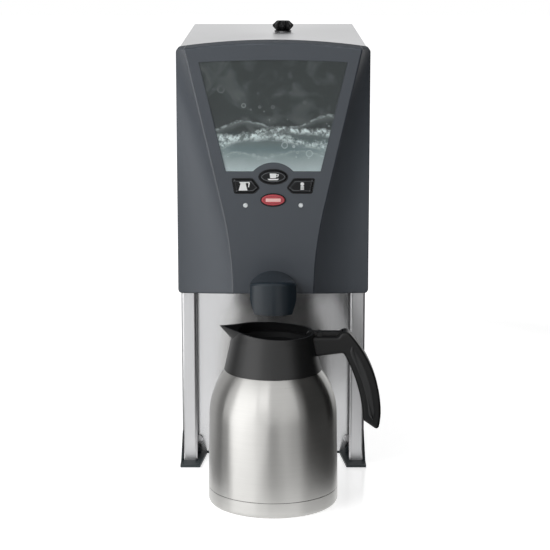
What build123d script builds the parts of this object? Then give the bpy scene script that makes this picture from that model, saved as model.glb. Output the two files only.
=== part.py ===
from build123d import *
from math import asin, atan2, cos, radians, sin, sqrt, tan
import os

# Counter top hot beverage dispenser with its vacuum jug.
# Millimetres, X to the right, Y to the back, Z up.
# The origin is on the counter under the middle of the steel housing.

# Housing of folded sheet
housing_width = 199.0
housing_depth = 400.0
housing_top = 455.0
sheet = 1.2
bend_radius = 1.5
leg_face_width = 16.0
leg_return = 12.0
fold = 14.0
splash_setback = 36.0
bay_roof = 203.0
shelf_height = 224.0

# Base tray
tray_thickness = 3.0
tray_overhang = 2.0
toe_reach = 17.5
toe_front_width = 21.5
toe_back_width = 27.5
gusset_height = 37.0
gusset_depth = 30.0
rib_height = 6.0
rib_width = 2.0

# Front panel
panel_width = 203.0
panel_bottom = 199.8
panel_chin = 9.6
panel_side_top = housing_top + 1.6
panel_crown_top = panel_side_top + 7.4
panel_side_depth = 25.0
panel_depth = 45.0
panel_wall = 2.6
panel_corner = 4.5
panel_edge_round = 2.0
tie_foot_half = 43.6
tie_bend_radius = 400.0
tie_top_inset = 7.0
boss_radius = 4.5
screw_radius = 1.6
screw_length = 8.0
panel_rib_pitch = 80.0

# Picture window
window_bottom = 330.2
window_top = panel_crown_top - 20.1
window_bottom_half = 49.6
window_top_half = panel_width / 2 - 24.5
window_crown = 2.2
notch_half = 21.0
notch_rise = 9.3
window_depth = 1.5
insert_thickness = 0.5
seat_gap = 0.15

# Push buttons and lamps
button_travel = 1.5
button_gap = 0.45
button_stand = 1.2
flange_lip = 1.4
flange_thickness = 1.2
flange_gap = 0.3
cup_button_width = 29.0
cup_button_height = 14.6
cup_button_z = 324.7
stop_button_width = 25.0
stop_button_height = 12.5
stop_button_z = 300.2
side_button_top = 322.3
side_button_bottom = 307.9
side_button_tip_z = 313.3
side_button_tip_x = 14.7
side_button_outer_top_x = 42.7
side_button_outer_bottom_x = 40.0
side_button_inner_top_x = 21.7
side_button_inner_bottom_x = 20.4
side_button_round = 1.2
lamp_radius = 2.5
lamp_x = 29.0
lamp_z = 294.4
stem_radius = 2.5
switch_size = 6.0
switch_height = 4.0
board_thickness = 1.6
board_setback = 10.5
board_width = 106.0
board_height = 46.0
board_z = 310.5
post_radius = 3.0
post_inset = 5.0

# Boiler
boiler_y = 30.0
boiler_radius = 76.0
boiler_wall = 1.2
boiler_skirt = 8.0
boiler_top = housing_top - 31.0
lid_radius = 84.0
lid_thickness = 3.0
gasket_thickness = 2.0
jacket_thickness = 14.0
loop_radius = 45.0
loop_rod_radius = 3.5
loop_bend = 14.0
loop_lift = 20.0
loop_sweep = 300.0
probe_radius = 1.5
probe_insulator_radius = 4.0
probe_pitch = 22.0

# Filler neck, plug and star cap
cap_x = 11.4
cap_y = 55.0
neck_bore = 8.0
neck_wall = 2.0
neck_stand = 0.4
plug_length = 20.0
running_gap = 0.05
star_radius = 12.25
star_height = 11.3
star_lobes = 8
star_pin_radius = 4.0

# Water path
outlet_z = 248.0
stub_radius = 7.0
stub_bore = 5.0
valve_block = 28.0
valve_width = 24.0
valve_height = 20.0
barb_radius = 6.0
barb_bore = 4.0
barb_length = 20.0
hose_wall = 2.5
hose_bend = 26.0
spout_hose_z = 212.0
plunger_radius = 5.0
armature_bore = plunger_radius + running_gap
armature_wall = 1.45
armature_height = 30.0
plunger_length = 21.5
coil_side = 27.0
coil_height = 26.0
nozzle_y = -305.0
nozzle_bore = 4.0
nozzle_wall = 3.0

# Spout cover
spout_bottom = 192.2
spout_bottom_half = 19.4
spout_knee_z = 205.4
spout_knee_draft = 0.7
spout_back_half = 24.7
spout_back_shoulder = 211.0
spout_back_crown = 224.7
spout_front_half = 24.4
spout_front_shoulder = 226.0
spout_front_crown = 226.6
spout_reach = 73.0
spout_sag = 13.0
spout_corner = 8.0
spout_wall = 2.2
spout_edge_round = 3.4

# Water and power connections at the back
thread_radius = 13.22
thread_length = 18.0
thread_shoulder = 0.8
inlet_x = -58.0
inlet_z = 62.0
mains_x = 58.0
mains_z = 62.0
mains_width = 27.5
mains_height = 20.0
mains_depth = 22.0
fill_x = -40.0
louvre_width = 62.0
louvre_pitch = 12.0
louvre_rows = 8
louvre_slot = 4.0
louvre_reach = 3.0

# Power board inside the housing's foot
power_x = 30.0
power_y = 60.0
power_width = 96.0
power_length = 110.0
power_lift = 12.0
transformer_side = 42.0
transformer_depth = 28.0
transformer_height = 36.0
sink_width = 46.0
sink_length = 60.0
sink_base = 5.0
sink_fin_height = 20.0
sink_fin_pitch = 5.5
sink_fins = 9

# Vacuum jug
jug_y = -326.0
jug_base_radius = 66.5
jug_shoulder_radius = jug_base_radius - 1.2
jug_shoulder_z = 91.0
jug_seam_z = 16.5
jug_seam_bevel = 0.4
jug_base_round = 4.5
jug_dome_z = 139.0
jug_dome_radius = 49.0
jug_neck_radius = 41.0
jug_neck_z = 158.0
jug_wall = 1.0
jug_vacuum = 4.5
collar_rim_z = 179.5
collar_rim_radius = 41.5
collar_waist_radius = 42.3
collar_waist_z = 171.0
collar_middle_radius = 45.4
collar_middle_z = 156.0
collar_wall = 2.4
beak_reach = 55.3
beak_rise = 5.3
lid_top_z = 170.0
lid_hole_radius = 11.0
funnel_wall = 2.0
funnel_drop = 8.0
bridge_top = 174.0
bridge_bottom = 153.0
bridge_root = 36.0
hump_root_x = 66.4
hump_top_x = 72.8
hump_top_z = 179.3
grip_top_x = 79.0
grip_top_z = 176.2
grip_bow_x = 100.3
grip_bow_z = 142.0
grip_end_x = 109.9
grip_end_z = 97.0
grip_heel_x = 107.2
grip_heel_z = 76.0
grip_toe_x = 91.8
grip_toe_z = 87.0
grip_hollow_x = 86.7
grip_hollow_z = 120.0
grip_root_x = 71.4
grip_root_z = 157.2
bridge_half = 11.0
lever_width = 8.0
lever_length = 36.0
lever_nose = 13.0
lever_room = 1.0
ear_thickness = 3.0
lever_top = 178.2
lever_thickness = 4.2
lever_travel = 6.0
lever_pin_x = 47.0
lever_pin_radius = 1.25
handle_round = 3.0

half_width = housing_width / 2
inner_half = half_width - sheet
front = -housing_depth / 2
rear = housing_depth / 2
splash_y = front + splash_setback
panel_face = front - panel_depth
panel_half = panel_width / 2
tray_half = half_width + tray_overhang
power_face = tray_thickness + power_lift
board_top = power_face + board_thickness

boss_x = half_width - leg_face_width / 2
boss_places = [(x, z) for x in (-boss_x, boss_x) for z in (panel_bottom + 27, panel_side_top - 17)]


def front_plane(y):
    """A drawing plane that looks from the front, at depth y."""
    return Plane.XZ.offset(-y)


# Base tray: a moulded plate that closes the housing below, with a toe under each leg.
with BuildPart() as base_tray:
    with BuildSketch():
        with BuildLine():
            Polyline(
                (0, splash_y),
                (tray_half - toe_back_width, splash_y),
                (tray_half - toe_front_width, front - toe_reach),
                (tray_half, front - toe_reach),
                (tray_half, rear),
                (0, rear),
            )
            mirror(about=Plane.YZ)
        make_face()
    extrude(amount=tray_thickness)
    # Gussets up the outside of the legs
    with BuildSketch(front_plane(front)):
        with BuildLine():
            Polyline(
                (half_width, tray_thickness),
                (tray_half, tray_thickness),
                (half_width, gusset_height),
                close=True,
            )
        make_face()
        mirror(about=Plane.YZ)
    extrude(amount=-gusset_depth)
    # Rails that the side panels stand against, and stiffening ribs
    with BuildSketch(Plane.XY.offset(tray_thickness)):
        rail_length = rear - splash_y - 3 * fold
        with Locations((0, (rear + splash_y) / 2)):
            with GridLocations(2 * inner_half - rib_width, 1, 2, 1):
                Rectangle(rib_width, rail_length)
            with GridLocations(1, rail_length / 4, 1, 4):
                Rectangle(2 * inner_half - rib_width, rib_width)
    extrude(amount=rib_height)
    # Posts under the corners of the power board
    with BuildSketch(Plane.XY.offset(tray_thickness)):
        with Locations((power_x, power_y)):
            with GridLocations(power_width - 2 * post_inset, power_length - 2 * post_inset, 2, 2):
                Circle(post_radius)
    extrude(amount=power_lift)

# Side panels: each is one folded sheet, and its front fold is the leg that shows.
with BuildPart() as right_side_panel:
    with BuildSketch(Plane.XY.offset(tray_thickness)):
        with BuildLine():
            FilletPolyline(
                (half_width - leg_face_width, front + leg_return),
                (half_width - leg_face_width, front),
                (half_width, front),
                (half_width, rear - sheet),
                (half_width - fold, rear - sheet),
                radius=bend_radius + sheet,
            )
            offset(amount=sheet, side=Side.LEFT)
        make_face()
    extrude(amount=housing_top - sheet - tray_thickness)
    with BuildSketch(front_plane(front)):
        with Locations(*boss_places):
            Circle(screw_radius + running_gap)
    extrude(amount=-leg_return, mode=Mode.SUBTRACT)

with BuildPart() as left_side_panel:
    mirror(right_side_panel.part, about=Plane.YZ)

# Top cover with side skirts and the hole for the filler neck
neck_radius = neck_bore + neck_wall
with BuildPart() as top_cover:
    with BuildSketch(Plane.XY.offset(housing_top - sheet)):
        Rectangle(housing_width, housing_depth)
        with Locations((cap_x, cap_y)):
            Circle(neck_radius + seat_gap, mode=Mode.SUBTRACT)
    extrude(amount=sheet)
    with BuildSketch(Plane.XY.offset(housing_top - sheet)):
        with GridLocations(2 * inner_half - sheet, 1, 2, 1):
            Rectangle(sheet, housing_depth - 3 * fold)
    extrude(amount=-fold)

# Rear panel with rows of louvres and the holes for water and power
louvre_x = housing_width / 4 - fold / 4
louvre_z = housing_top - louvre_pitch * (louvre_rows / 2 + 2)
with BuildPart() as rear_panel:
    with BuildSketch(front_plane(rear)):
        with Locations((0, (housing_top - sheet + tray_thickness) / 2)):
            Rectangle(housing_width, housing_top - sheet - tray_thickness)
        with Locations((inlet_x, inlet_z)):
            Circle(thread_radius + thread_shoulder + seat_gap, mode=Mode.SUBTRACT)
        with Locations((mains_x, mains_z)):
            Rectangle(mains_width + 2 * seat_gap, mains_height + 2 * seat_gap, mode=Mode.SUBTRACT)
        with Locations((0, louvre_z)):
            with GridLocations(2 * louvre_x, louvre_pitch, 2, louvre_rows):
                Rectangle(louvre_width, louvre_slot, mode=Mode.SUBTRACT)
    extrude(amount=sheet)
    # One hood leans out over each slot
    for side in (-louvre_x, louvre_x):
        with BuildSketch(Plane.YZ.offset(side - louvre_width / 2)):
            with Locations((rear, louvre_z)):
                with GridLocations(1, louvre_pitch, 1, louvre_rows):
                    Polygon(
                        (-sheet, louvre_slot / 2),
                        (0, louvre_slot / 2 + sheet),
                        (louvre_reach, -louvre_slot / 2),
                        (louvre_reach - sheet, -louvre_slot / 2),
                        align=None,
                    )
        extrude(amount=louvre_width)

# Splash panel: upright sheet behind the legs, folded forward as the roof of the jug bay
with BuildPart() as splash_panel:
    with BuildSketch(Plane.YZ.offset(-(half_width - leg_face_width - seat_gap))):
        with BuildLine():
            FilletPolyline(
                (splash_y, tray_thickness),
                (splash_y, bay_roof),
                (front + seat_gap, bay_roof),
                radius=bend_radius,
            )
            offset(amount=sheet, side=Side.RIGHT)
        make_face()
    extrude(amount=2 * (half_width - leg_face_width - seat_gap))
    # Wings that reach behind the legs
    with BuildSketch(front_plane(splash_y + sheet)):
        with Locations((0, (bay_roof - fold + tray_thickness) / 2)):
            Rectangle(2 * inner_half, bay_roof - fold - tray_thickness)
    extrude(amount=sheet)

# Equipment shelf that carries the boiler
shelf_front = splash_y + 2 * sheet
with BuildPart() as equipment_shelf:
    with BuildSketch(Plane.XY.offset(shelf_height)):
        with Locations((0, (shelf_front + rear - fold) / 2)):
            Rectangle(2 * inner_half, rear - fold - shelf_front)
        with Locations((fill_x, boiler_y)):
            Circle(stub_radius + 1, mode=Mode.SUBTRACT)
    extrude(amount=sheet)
    with BuildSketch(Plane.XY.offset(shelf_height)):
        with Locations((0, (shelf_front + rear - fold) / 2)):
            with GridLocations(2 * inner_half - sheet, 1, 2, 1):
                Rectangle(sheet, rear - fold - shelf_front)
    extrude(amount=-fold)

# Front panel: a thin moulded shell, with a raised V in the middle and a facet at each side.
form_top = panel_crown_top + panel_edge_round
tie_reach = tie_foot_half + tie_bend_radius - (panel_half - tie_top_inset)
tie_run = sqrt(tie_reach**2 + (form_top - panel_bottom) ** 2 - tie_bend_radius**2)
tie_lean = atan2(tie_bend_radius, tie_run) - atan2(tie_reach, form_top - panel_bottom)
tie_bend_z = panel_bottom + tie_bend_radius * sin(tie_lean)
tie_bend_half = tie_foot_half + tie_bend_radius * (1 - cos(tie_lean))
panel_foot = panel_bottom - panel_depth * tan(radians(panel_chin))


def tie_half(z):
    """Half width of the raised V: an upright arc at the foot, then a straight lean."""
    if z >= tie_bend_z:
        return tie_bend_half + (z - tie_bend_z) * tan(tie_lean)
    turn = asin((z - panel_bottom) / tie_bend_radius)
    return tie_foot_half + tie_bend_radius * (1 - cos(turn))


def panel_form(inset):
    """The panel's outer form, drawn in by an inset on every side that shows."""
    steps = 4
    rise = (tie_bend_z - panel_foot) / steps
    bend_levels = [panel_foot + rise * step for step in range(steps + 1)]
    lean_levels = [tie_bend_z, form_top]
    side = panel_half - inset
    with BuildPart() as form:
        for levels, ruled in ((bend_levels, False), (lean_levels, True)):
            for z in levels:
                tie = tie_half(z) - inset / 2
                with BuildSketch(Plane.XY.offset(z)):
                    with BuildLine():
                        Polyline(
                            (-side, front),
                            (-side, front - panel_side_depth + inset),
                            (-tie, panel_face + inset),
                            (tie, panel_face + inset),
                            (side, front - panel_side_depth + inset),
                            (side, front),
                            close=True,
                        )
                    make_face()
            loft(ruled=ruled)
        with BuildSketch(front_plane(front)) as crown:
            with BuildLine():
                Polyline(
                    (-side, panel_side_top - inset),
                    (-side, panel_foot),
                    (side, panel_foot),
                    (side, panel_side_top - inset),
                )
                ThreePointArc(
                    (side, panel_side_top - inset),
                    (0, panel_crown_top - inset),
                    (-side, panel_side_top - inset),
                )
            make_face()
            fillet(crown.vertices().group_by(Axis.Y)[-1], panel_corner - inset / 2)
        extrude(amount=2 * panel_depth, mode=Mode.INTERSECT)
        # The chin rises towards the front
        with BuildSketch(front_plane(front)) as chin:
            with Locations((0, panel_foot + inset)):
                Rectangle(2 * side, panel_crown_top, align=(Align.CENTER, Align.MIN))
            fillet(chin.vertices().group_by(Axis.Y)[0], panel_corner - inset / 2)
        chin_rise = Vector(0, -cos(radians(panel_chin)), sin(radians(panel_chin)))
        extrude(amount=2 * panel_depth, dir=chin_rise, mode=Mode.INTERSECT)
    return form.part


def window_sketch(y, inset):
    """The picture window at depth y: a tapering frame with an arched notch over the cup button."""
    with BuildSketch(front_plane(y)) as window:
        with BuildLine():
            Polyline(
                (-notch_half, window_bottom),
                (-window_bottom_half, window_bottom),
                (-window_top_half, window_top),
            )
            ThreePointArc(
                (-window_top_half, window_top),
                (0, window_top + window_crown),
                (window_top_half, window_top),
            )
            Polyline(
                (window_top_half, window_top),
                (window_bottom_half, window_bottom),
                (notch_half, window_bottom),
            )
            ThreePointArc(
                (notch_half, window_bottom),
                (0, window_bottom + notch_rise),
                (-notch_half, window_bottom),
            )
        make_face()
        if inset > 0:
            offset(amount=-inset, kind=Kind.INTERSECTION)
    return window.sketch


def oval_outline(y, width, height, z, growth):
    """An oval button's outline at depth y, grown all round."""
    with BuildSketch(front_plane(y)) as oval:
        with Locations((0, z)):
            Ellipse(width / 2 + growth, height / 2 + growth)
    return oval.sketch


def cup_outline(y, growth):
    """The upper oval button."""
    return oval_outline(y, cup_button_width, cup_button_height, cup_button_z, growth)


def stop_outline(y, growth):
    """The lower oval button."""
    return oval_outline(y, stop_button_width, stop_button_height, stop_button_z, growth)


def right_outline(y, growth):
    """The right button: five sides, with its tip towards the middle."""
    with BuildSketch(front_plane(y)) as outline:
        with BuildLine():
            Polyline(
                (side_button_outer_top_x, side_button_top),
                (side_button_inner_top_x, side_button_top),
                (side_button_tip_x, side_button_tip_z),
                (side_button_inner_bottom_x, side_button_bottom),
                (side_button_outer_bottom_x, side_button_bottom),
                close=True,
            )
        make_face()
        if growth:
            offset(amount=growth, kind=Kind.INTERSECTION)
        fillet(outline.vertices(), side_button_round)
    return outline.sketch


def left_outline(y, growth):
    """The left button mirrors the right one."""
    with BuildSketch(front_plane(y)) as outline:
        mirror(right_outline(y, growth), about=Plane.YZ)
    return outline.sketch


panel_inside = panel_face + panel_wall
board_face = panel_inside + board_setback
post_places = [
    (x, z)
    for x in (post_inset - board_width / 2, board_width / 2 - post_inset)
    for z in (board_z - board_height / 2 + post_inset, board_z + board_height / 2 - post_inset)
]
panel_core = panel_form(panel_wall)

with BuildPart() as panel_ribs:
    # Ribs and screw bosses, trimmed to the hollow of the panel
    with BuildSketch(front_plane(front - 12)):
        with Locations((0, (panel_foot + panel_side_top) / 2)):
            with GridLocations(1, panel_rib_pitch, 1, 4):
                Rectangle(panel_width, rib_width)
            with GridLocations(2 * 62, 1, 2, 1):
                Rectangle(rib_width, panel_crown_top - panel_foot)
    extrude(amount=panel_depth)
    with BuildSketch(front_plane(panel_face)):
        with Locations((0, board_z - 4)):
            Rectangle(board_width + 6, board_height + 22)
    extrude(amount=-panel_depth, mode=Mode.SUBTRACT)
    with BuildSketch(front_plane(front)):
        with Locations(*boss_places):
            Circle(boss_radius)
    extrude(amount=panel_depth)
    # Lip that closes the back of the crown above the top cover
    with BuildSketch(front_plane(front)):
        with Locations((0, housing_top + seat_gap)):
            Rectangle(panel_width, panel_wall + panel_depth, align=(Align.CENTER, Align.MIN))
    extrude(amount=panel_wall)
    with BuildSketch(front_plane(board_face)):
        with Locations(*post_places):
            Circle(post_radius)
    extrude(amount=panel_depth)
    add(panel_core, mode=Mode.INTERSECT)

def on_front_outline(edge):
    """True for the edges that run round the panel's front, but not for those of the V."""
    middle = edge.center()
    at_border = (
        abs(middle.X) > panel_half - panel_corner
        or middle.Z < panel_bottom + panel_corner
        or middle.Z > panel_side_top - panel_corner
    )
    return at_border and middle.Y < front - panel_side_depth + 1


with BuildPart() as front_panel:
    add(panel_form(0))
    fillet(front_panel.edges().filter_by(on_front_outline), panel_edge_round)
    add(panel_core, mode=Mode.SUBTRACT)
    add(panel_ribs.part)
    extrude(window_sketch(panel_face, 0), amount=-window_depth, mode=Mode.SUBTRACT)
    for outline in (left_outline, cup_outline, right_outline, stop_outline):
        extrude(outline(panel_face, 0), amount=-panel_wall - 1, mode=Mode.SUBTRACT)
    with BuildSketch(front_plane(panel_face)):
        with Locations((-lamp_x, lamp_z), (lamp_x, lamp_z)):
            Circle(lamp_radius + running_gap)
    extrude(amount=-panel_wall - 1, mode=Mode.SUBTRACT)
    with BuildSketch(front_plane(panel_face)):
        with Locations((0, spout_hose_z)):
            Circle(barb_radius + hose_wall + 2 * flange_gap)
    extrude(amount=-panel_depth, mode=Mode.SUBTRACT)
    with BuildSketch(front_plane(front)):
        with Locations(*boss_places):
            Circle(screw_radius + running_gap)
    extrude(amount=10, mode=Mode.SUBTRACT)

# Printed picture and the clear window over it, both seated in the pocket
pocket_floor = panel_face + window_depth
with BuildPart() as picture_insert:
    extrude(window_sketch(pocket_floor, seat_gap), amount=insert_thickness)

with BuildPart() as display_window:
    extrude(
        window_sketch(pocket_floor - insert_thickness, seat_gap),
        amount=window_depth - insert_thickness,
    )

# Push buttons: a cap that fills its hole, a flange behind the wall and a stem to the switch
switch_face = board_face - switch_height
button_places = {
    "jug_button": (-(side_button_outer_top_x + side_button_tip_x) / 2, side_button_tip_z),
    "cup_button": (0.0, cup_button_z),
    "column_button": ((side_button_outer_top_x + side_button_tip_x) / 2, side_button_tip_z),
    "stop_button": (0.0, stop_button_z),
}


def push_button(outline, place):
    """A push button from its hole's outline and the place of its stem."""
    flange_face = panel_inside + flange_gap
    stem_length = switch_face - flange_face - button_travel - flange_gap
    with BuildPart() as button:
        extrude(outline(flange_face, -button_gap), amount=panel_wall + flange_gap + button_stand)
        chamfer(button.faces().sort_by(Axis.Y)[0].edges(), button_stand / 2)
        extrude(outline(flange_face, flange_lip), amount=-flange_thickness)
        with BuildSketch(front_plane(flange_face)):
            with Locations(place):
                Circle(stem_radius)
        extrude(amount=-stem_length)
    return button


jug_button = push_button(left_outline, button_places["jug_button"])
cup_button = push_button(cup_outline, button_places["cup_button"])
column_button = push_button(right_outline, button_places["column_button"])
stop_button = push_button(stop_outline, button_places["stop_button"])

with BuildPart() as lamp_lenses:
    with BuildSketch(front_plane(board_face)):
        with Locations((-lamp_x, lamp_z), (lamp_x, lamp_z)):
            Circle(lamp_radius)
    extrude(amount=board_setback + panel_wall + flange_gap)
    fillet(lamp_lenses.edges().group_by(Axis.Y)[0], lamp_radius / 3)

with BuildPart() as control_board:
    with BuildSketch(front_plane(board_face)):
        with Locations((0, board_z)):
            Rectangle(board_width, board_height)
    extrude(amount=-board_thickness)

with BuildPart() as push_switches:
    with BuildSketch(front_plane(board_face)):
        with Locations(*button_places.values()):
            Rectangle(switch_size, switch_size)
    extrude(amount=switch_height)

with BuildPart() as panel_screws:
    with BuildSketch(front_plane(front + sheet)):
        with Locations(*boss_places):
            Circle(screw_radius)
    extrude(amount=sheet + screw_length)
    with BuildSketch(front_plane(front + sheet)):
        with Locations(*boss_places):
            Circle(2 * screw_radius)
    extrude(amount=-1.5 * screw_radius)

# Spout cover: an arched hood where it meets the panel, squarer at the front, narrower below
spout_front = panel_face - spout_reach


def spout_form(inset):
    """The spout cover's outer form, drawn in by an inset on every side but its back."""
    foot = spout_bottom + inset
    foot_half = spout_bottom_half - inset
    with BuildPart() as form:
        for y, half, shoulder, crown in (
            (panel_face, spout_back_half, spout_back_shoulder, spout_back_crown),
            (spout_front, spout_front_half, spout_front_shoulder, spout_front_crown),
        ):
            side = half - inset
            with BuildSketch(front_plane(y)):
                with BuildLine():
                    Polyline(
                        (-side, shoulder - inset),
                        (-side + spout_knee_draft, spout_knee_z),
                        (-foot_half, foot),
                        (foot_half, foot),
                        (side - spout_knee_draft, spout_knee_z),
                        (side, shoulder - inset),
                    )
                    ThreePointArc(
                        (side, shoulder - inset), (0, crown - inset), (-side, shoulder - inset)
                    )
                make_face()
        loft(ruled=True)
        with BuildSketch(Plane.XY.offset(spout_bottom)) as plan:
            side = spout_back_half - inset
            with BuildLine():
                Polyline(
                    (-side, spout_front + spout_sag + inset),
                    (-side, panel_face),
                    (side, panel_face),
                    (side, spout_front + spout_sag + inset),
                )
                ThreePointArc(
                    (side, spout_front + spout_sag + inset),
                    (0, spout_front + inset),
                    (-side, spout_front + spout_sag + inset),
                )
            make_face()
            fillet(plan.vertices().group_by(Axis.Y)[0], spout_corner - inset)
        extrude(amount=spout_front_crown - spout_bottom, mode=Mode.INTERSECT)
    return form.part


nozzle_radius = nozzle_bore + nozzle_wall
with BuildPart() as spout_cover:
    add(spout_form(0))
    front_top = spout_cover.faces().sort_by(Axis.Z)[-1].edges().filter_by(
        lambda edge: edge.center().Y < panel_face - 1
    )
    fillet(front_top, spout_edge_round)
    add(spout_form(spout_wall), mode=Mode.SUBTRACT)
    with BuildSketch(Plane.XY.offset(spout_bottom)):
        with Locations((0, nozzle_y)):
            Circle(nozzle_radius + running_gap)
    extrude(amount=spout_wall + 1, mode=Mode.SUBTRACT)

# Outlet nozzle: an elbow that stands in the floor of the spout cover
nozzle_barb_end = nozzle_y + nozzle_radius + 24
with BuildPart() as outlet_nozzle:
    with BuildSketch(Plane.XY.offset(spout_bottom)):
        with Locations((0, nozzle_y)):
            Circle(nozzle_radius)
    extrude(amount=spout_hose_z + barb_radius - spout_bottom)
    with BuildSketch(Plane.XY.offset(spout_bottom + spout_wall)):
        with Locations((0, nozzle_y)):
            Circle(nozzle_radius + 2)
    extrude(amount=spout_wall)
    with BuildSketch(front_plane(nozzle_barb_end)):
        with Locations((0, spout_hose_z)):
            Circle(barb_radius)
    extrude(amount=nozzle_barb_end - nozzle_y)
    with BuildSketch(front_plane(nozzle_barb_end)):
        with Locations((0, spout_hose_z)):
            Circle(barb_bore)
    extrude(amount=nozzle_barb_end - nozzle_y, mode=Mode.SUBTRACT)
    with BuildSketch(Plane.XY.offset(spout_bottom)):
        with Locations((0, nozzle_y)):
            Circle(nozzle_bore)
    extrude(amount=spout_hose_z - spout_bottom, mode=Mode.SUBTRACT)

# Boiler: a tank with a skirt, a flanged rim and two stubs
boiler_axis = Axis((0, boiler_y, 0), (0, 0, 1))
shelf_top = shelf_height + sheet
boiler_floor = shelf_top + boiler_skirt
boiler_inner = boiler_radius - boiler_wall
valve_y = boiler_y - boiler_radius - jacket_thickness - valve_block / 2 - 9
stub_end = valve_y + valve_block / 2
lid_top = boiler_top + gasket_thickness + lid_thickness
bolt_circle = (boiler_radius + lid_radius) / 2
bolt_radius = 1.5
bolt_count = 8

with BuildPart() as boiler_tank:
    with BuildSketch(front_plane(boiler_y)):
        with BuildLine():
            Polyline(
                (boiler_inner, shelf_top),
                (boiler_radius, shelf_top),
                (boiler_radius, boiler_top - lid_thickness),
                (lid_radius, boiler_top - lid_thickness),
                (lid_radius, boiler_top),
                (boiler_inner, boiler_top),
                (boiler_inner, boiler_floor + boiler_wall),
                (0, boiler_floor + boiler_wall),
                (0, boiler_floor),
                (boiler_inner, boiler_floor),
                close=True,
            )
        make_face()
    revolve(axis=boiler_axis)
    with BuildSketch(front_plane(stub_end)):
        with Locations((0, outlet_z)):
            Circle(stub_radius)
    extrude(amount=-(boiler_y - boiler_inner - stub_end + boiler_wall))
    with BuildSketch(front_plane(stub_end)):
        with Locations((0, outlet_z)):
            Circle(stub_bore)
    extrude(amount=-boiler_radius, mode=Mode.SUBTRACT)
    with BuildSketch(Plane.XY.offset(boiler_floor)):
        with Locations((fill_x, boiler_y)):
            Circle(barb_radius)
    extrude(amount=-boiler_skirt - sheet - barb_length)
    with BuildSketch(Plane.XY.offset(boiler_floor + boiler_wall)):
        with Locations((fill_x, boiler_y)):
            Circle(barb_bore)
    extrude(amount=-boiler_wall - boiler_skirt - sheet - barb_length, mode=Mode.SUBTRACT)
    with BuildSketch(Plane.XY.offset(boiler_top)):
        with Locations((0, boiler_y)):
            with PolarLocations(bolt_circle, bolt_count):
                Circle(bolt_radius + running_gap)
    extrude(amount=-lid_thickness, mode=Mode.SUBTRACT)

with BuildPart() as lid_gasket:
    with BuildSketch(Plane.XY.offset(boiler_top)):
        with Locations((0, boiler_y)):
            Circle(lid_radius)
            Circle(boiler_radius, mode=Mode.SUBTRACT)
            with PolarLocations(bolt_circle, bolt_count):
                Circle(bolt_radius + running_gap, mode=Mode.SUBTRACT)
    extrude(amount=gasket_thickness)

# Places on the boiler lid
loop_start = radians(90 - loop_sweep / 2)
loop_ring_z = boiler_floor + loop_lift
loop_leg_x = loop_radius * cos(loop_start) + loop_bend * sin(loop_start)
loop_leg_y = boiler_y + loop_radius * sin(loop_start) - loop_bend * cos(loop_start)
probe_places = [
    (-boiler_radius / 2, boiler_y + probe_pitch),
    (-boiler_radius / 2 - probe_pitch / 2, boiler_y),
    (-boiler_radius / 2, boiler_y - probe_pitch),
]
probe_lengths = [share * (lid_top - boiler_floor) for share in (0.2, 0.46, 0.77)]
cutout_place = (42.0, boiler_y - 10)

with BuildPart() as boiler_lid:
    with BuildSketch(Plane.XY.offset(lid_top)):
        with Locations((0, boiler_y)):
            Circle(lid_radius)
            with PolarLocations(bolt_circle, bolt_count):
                Circle(bolt_radius + running_gap, mode=Mode.SUBTRACT)
        with Locations((cap_x, cap_y)):
            Circle(neck_radius + running_gap, mode=Mode.SUBTRACT)
        with Locations((loop_leg_x, loop_leg_y), (-loop_leg_x, loop_leg_y)):
            Circle(loop_rod_radius + running_gap, mode=Mode.SUBTRACT)
        with Locations(*probe_places):
            Circle(probe_radius + running_gap, mode=Mode.SUBTRACT)
    extrude(amount=-lid_thickness)

with BuildPart() as lid_bolts:
    with BuildSketch(Plane.XY.offset(lid_top)):
        with Locations((0, boiler_y)):
            with PolarLocations(bolt_circle, bolt_count):
                Circle(bolt_radius)
    extrude(amount=-2 * lid_thickness - gasket_thickness)
    with BuildSketch(Plane.XY.offset(lid_top)):
        with Locations((0, boiler_y)):
            with PolarLocations(bolt_circle, bolt_count):
                RegularPolygon(2 * bolt_radius, 6)
    extrude(amount=1.5 * bolt_radius)

with BuildPart() as insulation_jacket:
    with BuildSketch(Plane.XY.offset(shelf_top)):
        with Locations((0, boiler_y)):
            Circle(boiler_radius + jacket_thickness)
            Circle(boiler_radius + seat_gap, mode=Mode.SUBTRACT)
    extrude(amount=boiler_top - lid_thickness - seat_gap - shelf_top)
    with BuildSketch(front_plane(stub_end)):
        with Locations((0, outlet_z)):
            Circle(stub_radius + seat_gap)
    extrude(amount=-boiler_radius, mode=Mode.SUBTRACT)

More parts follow.
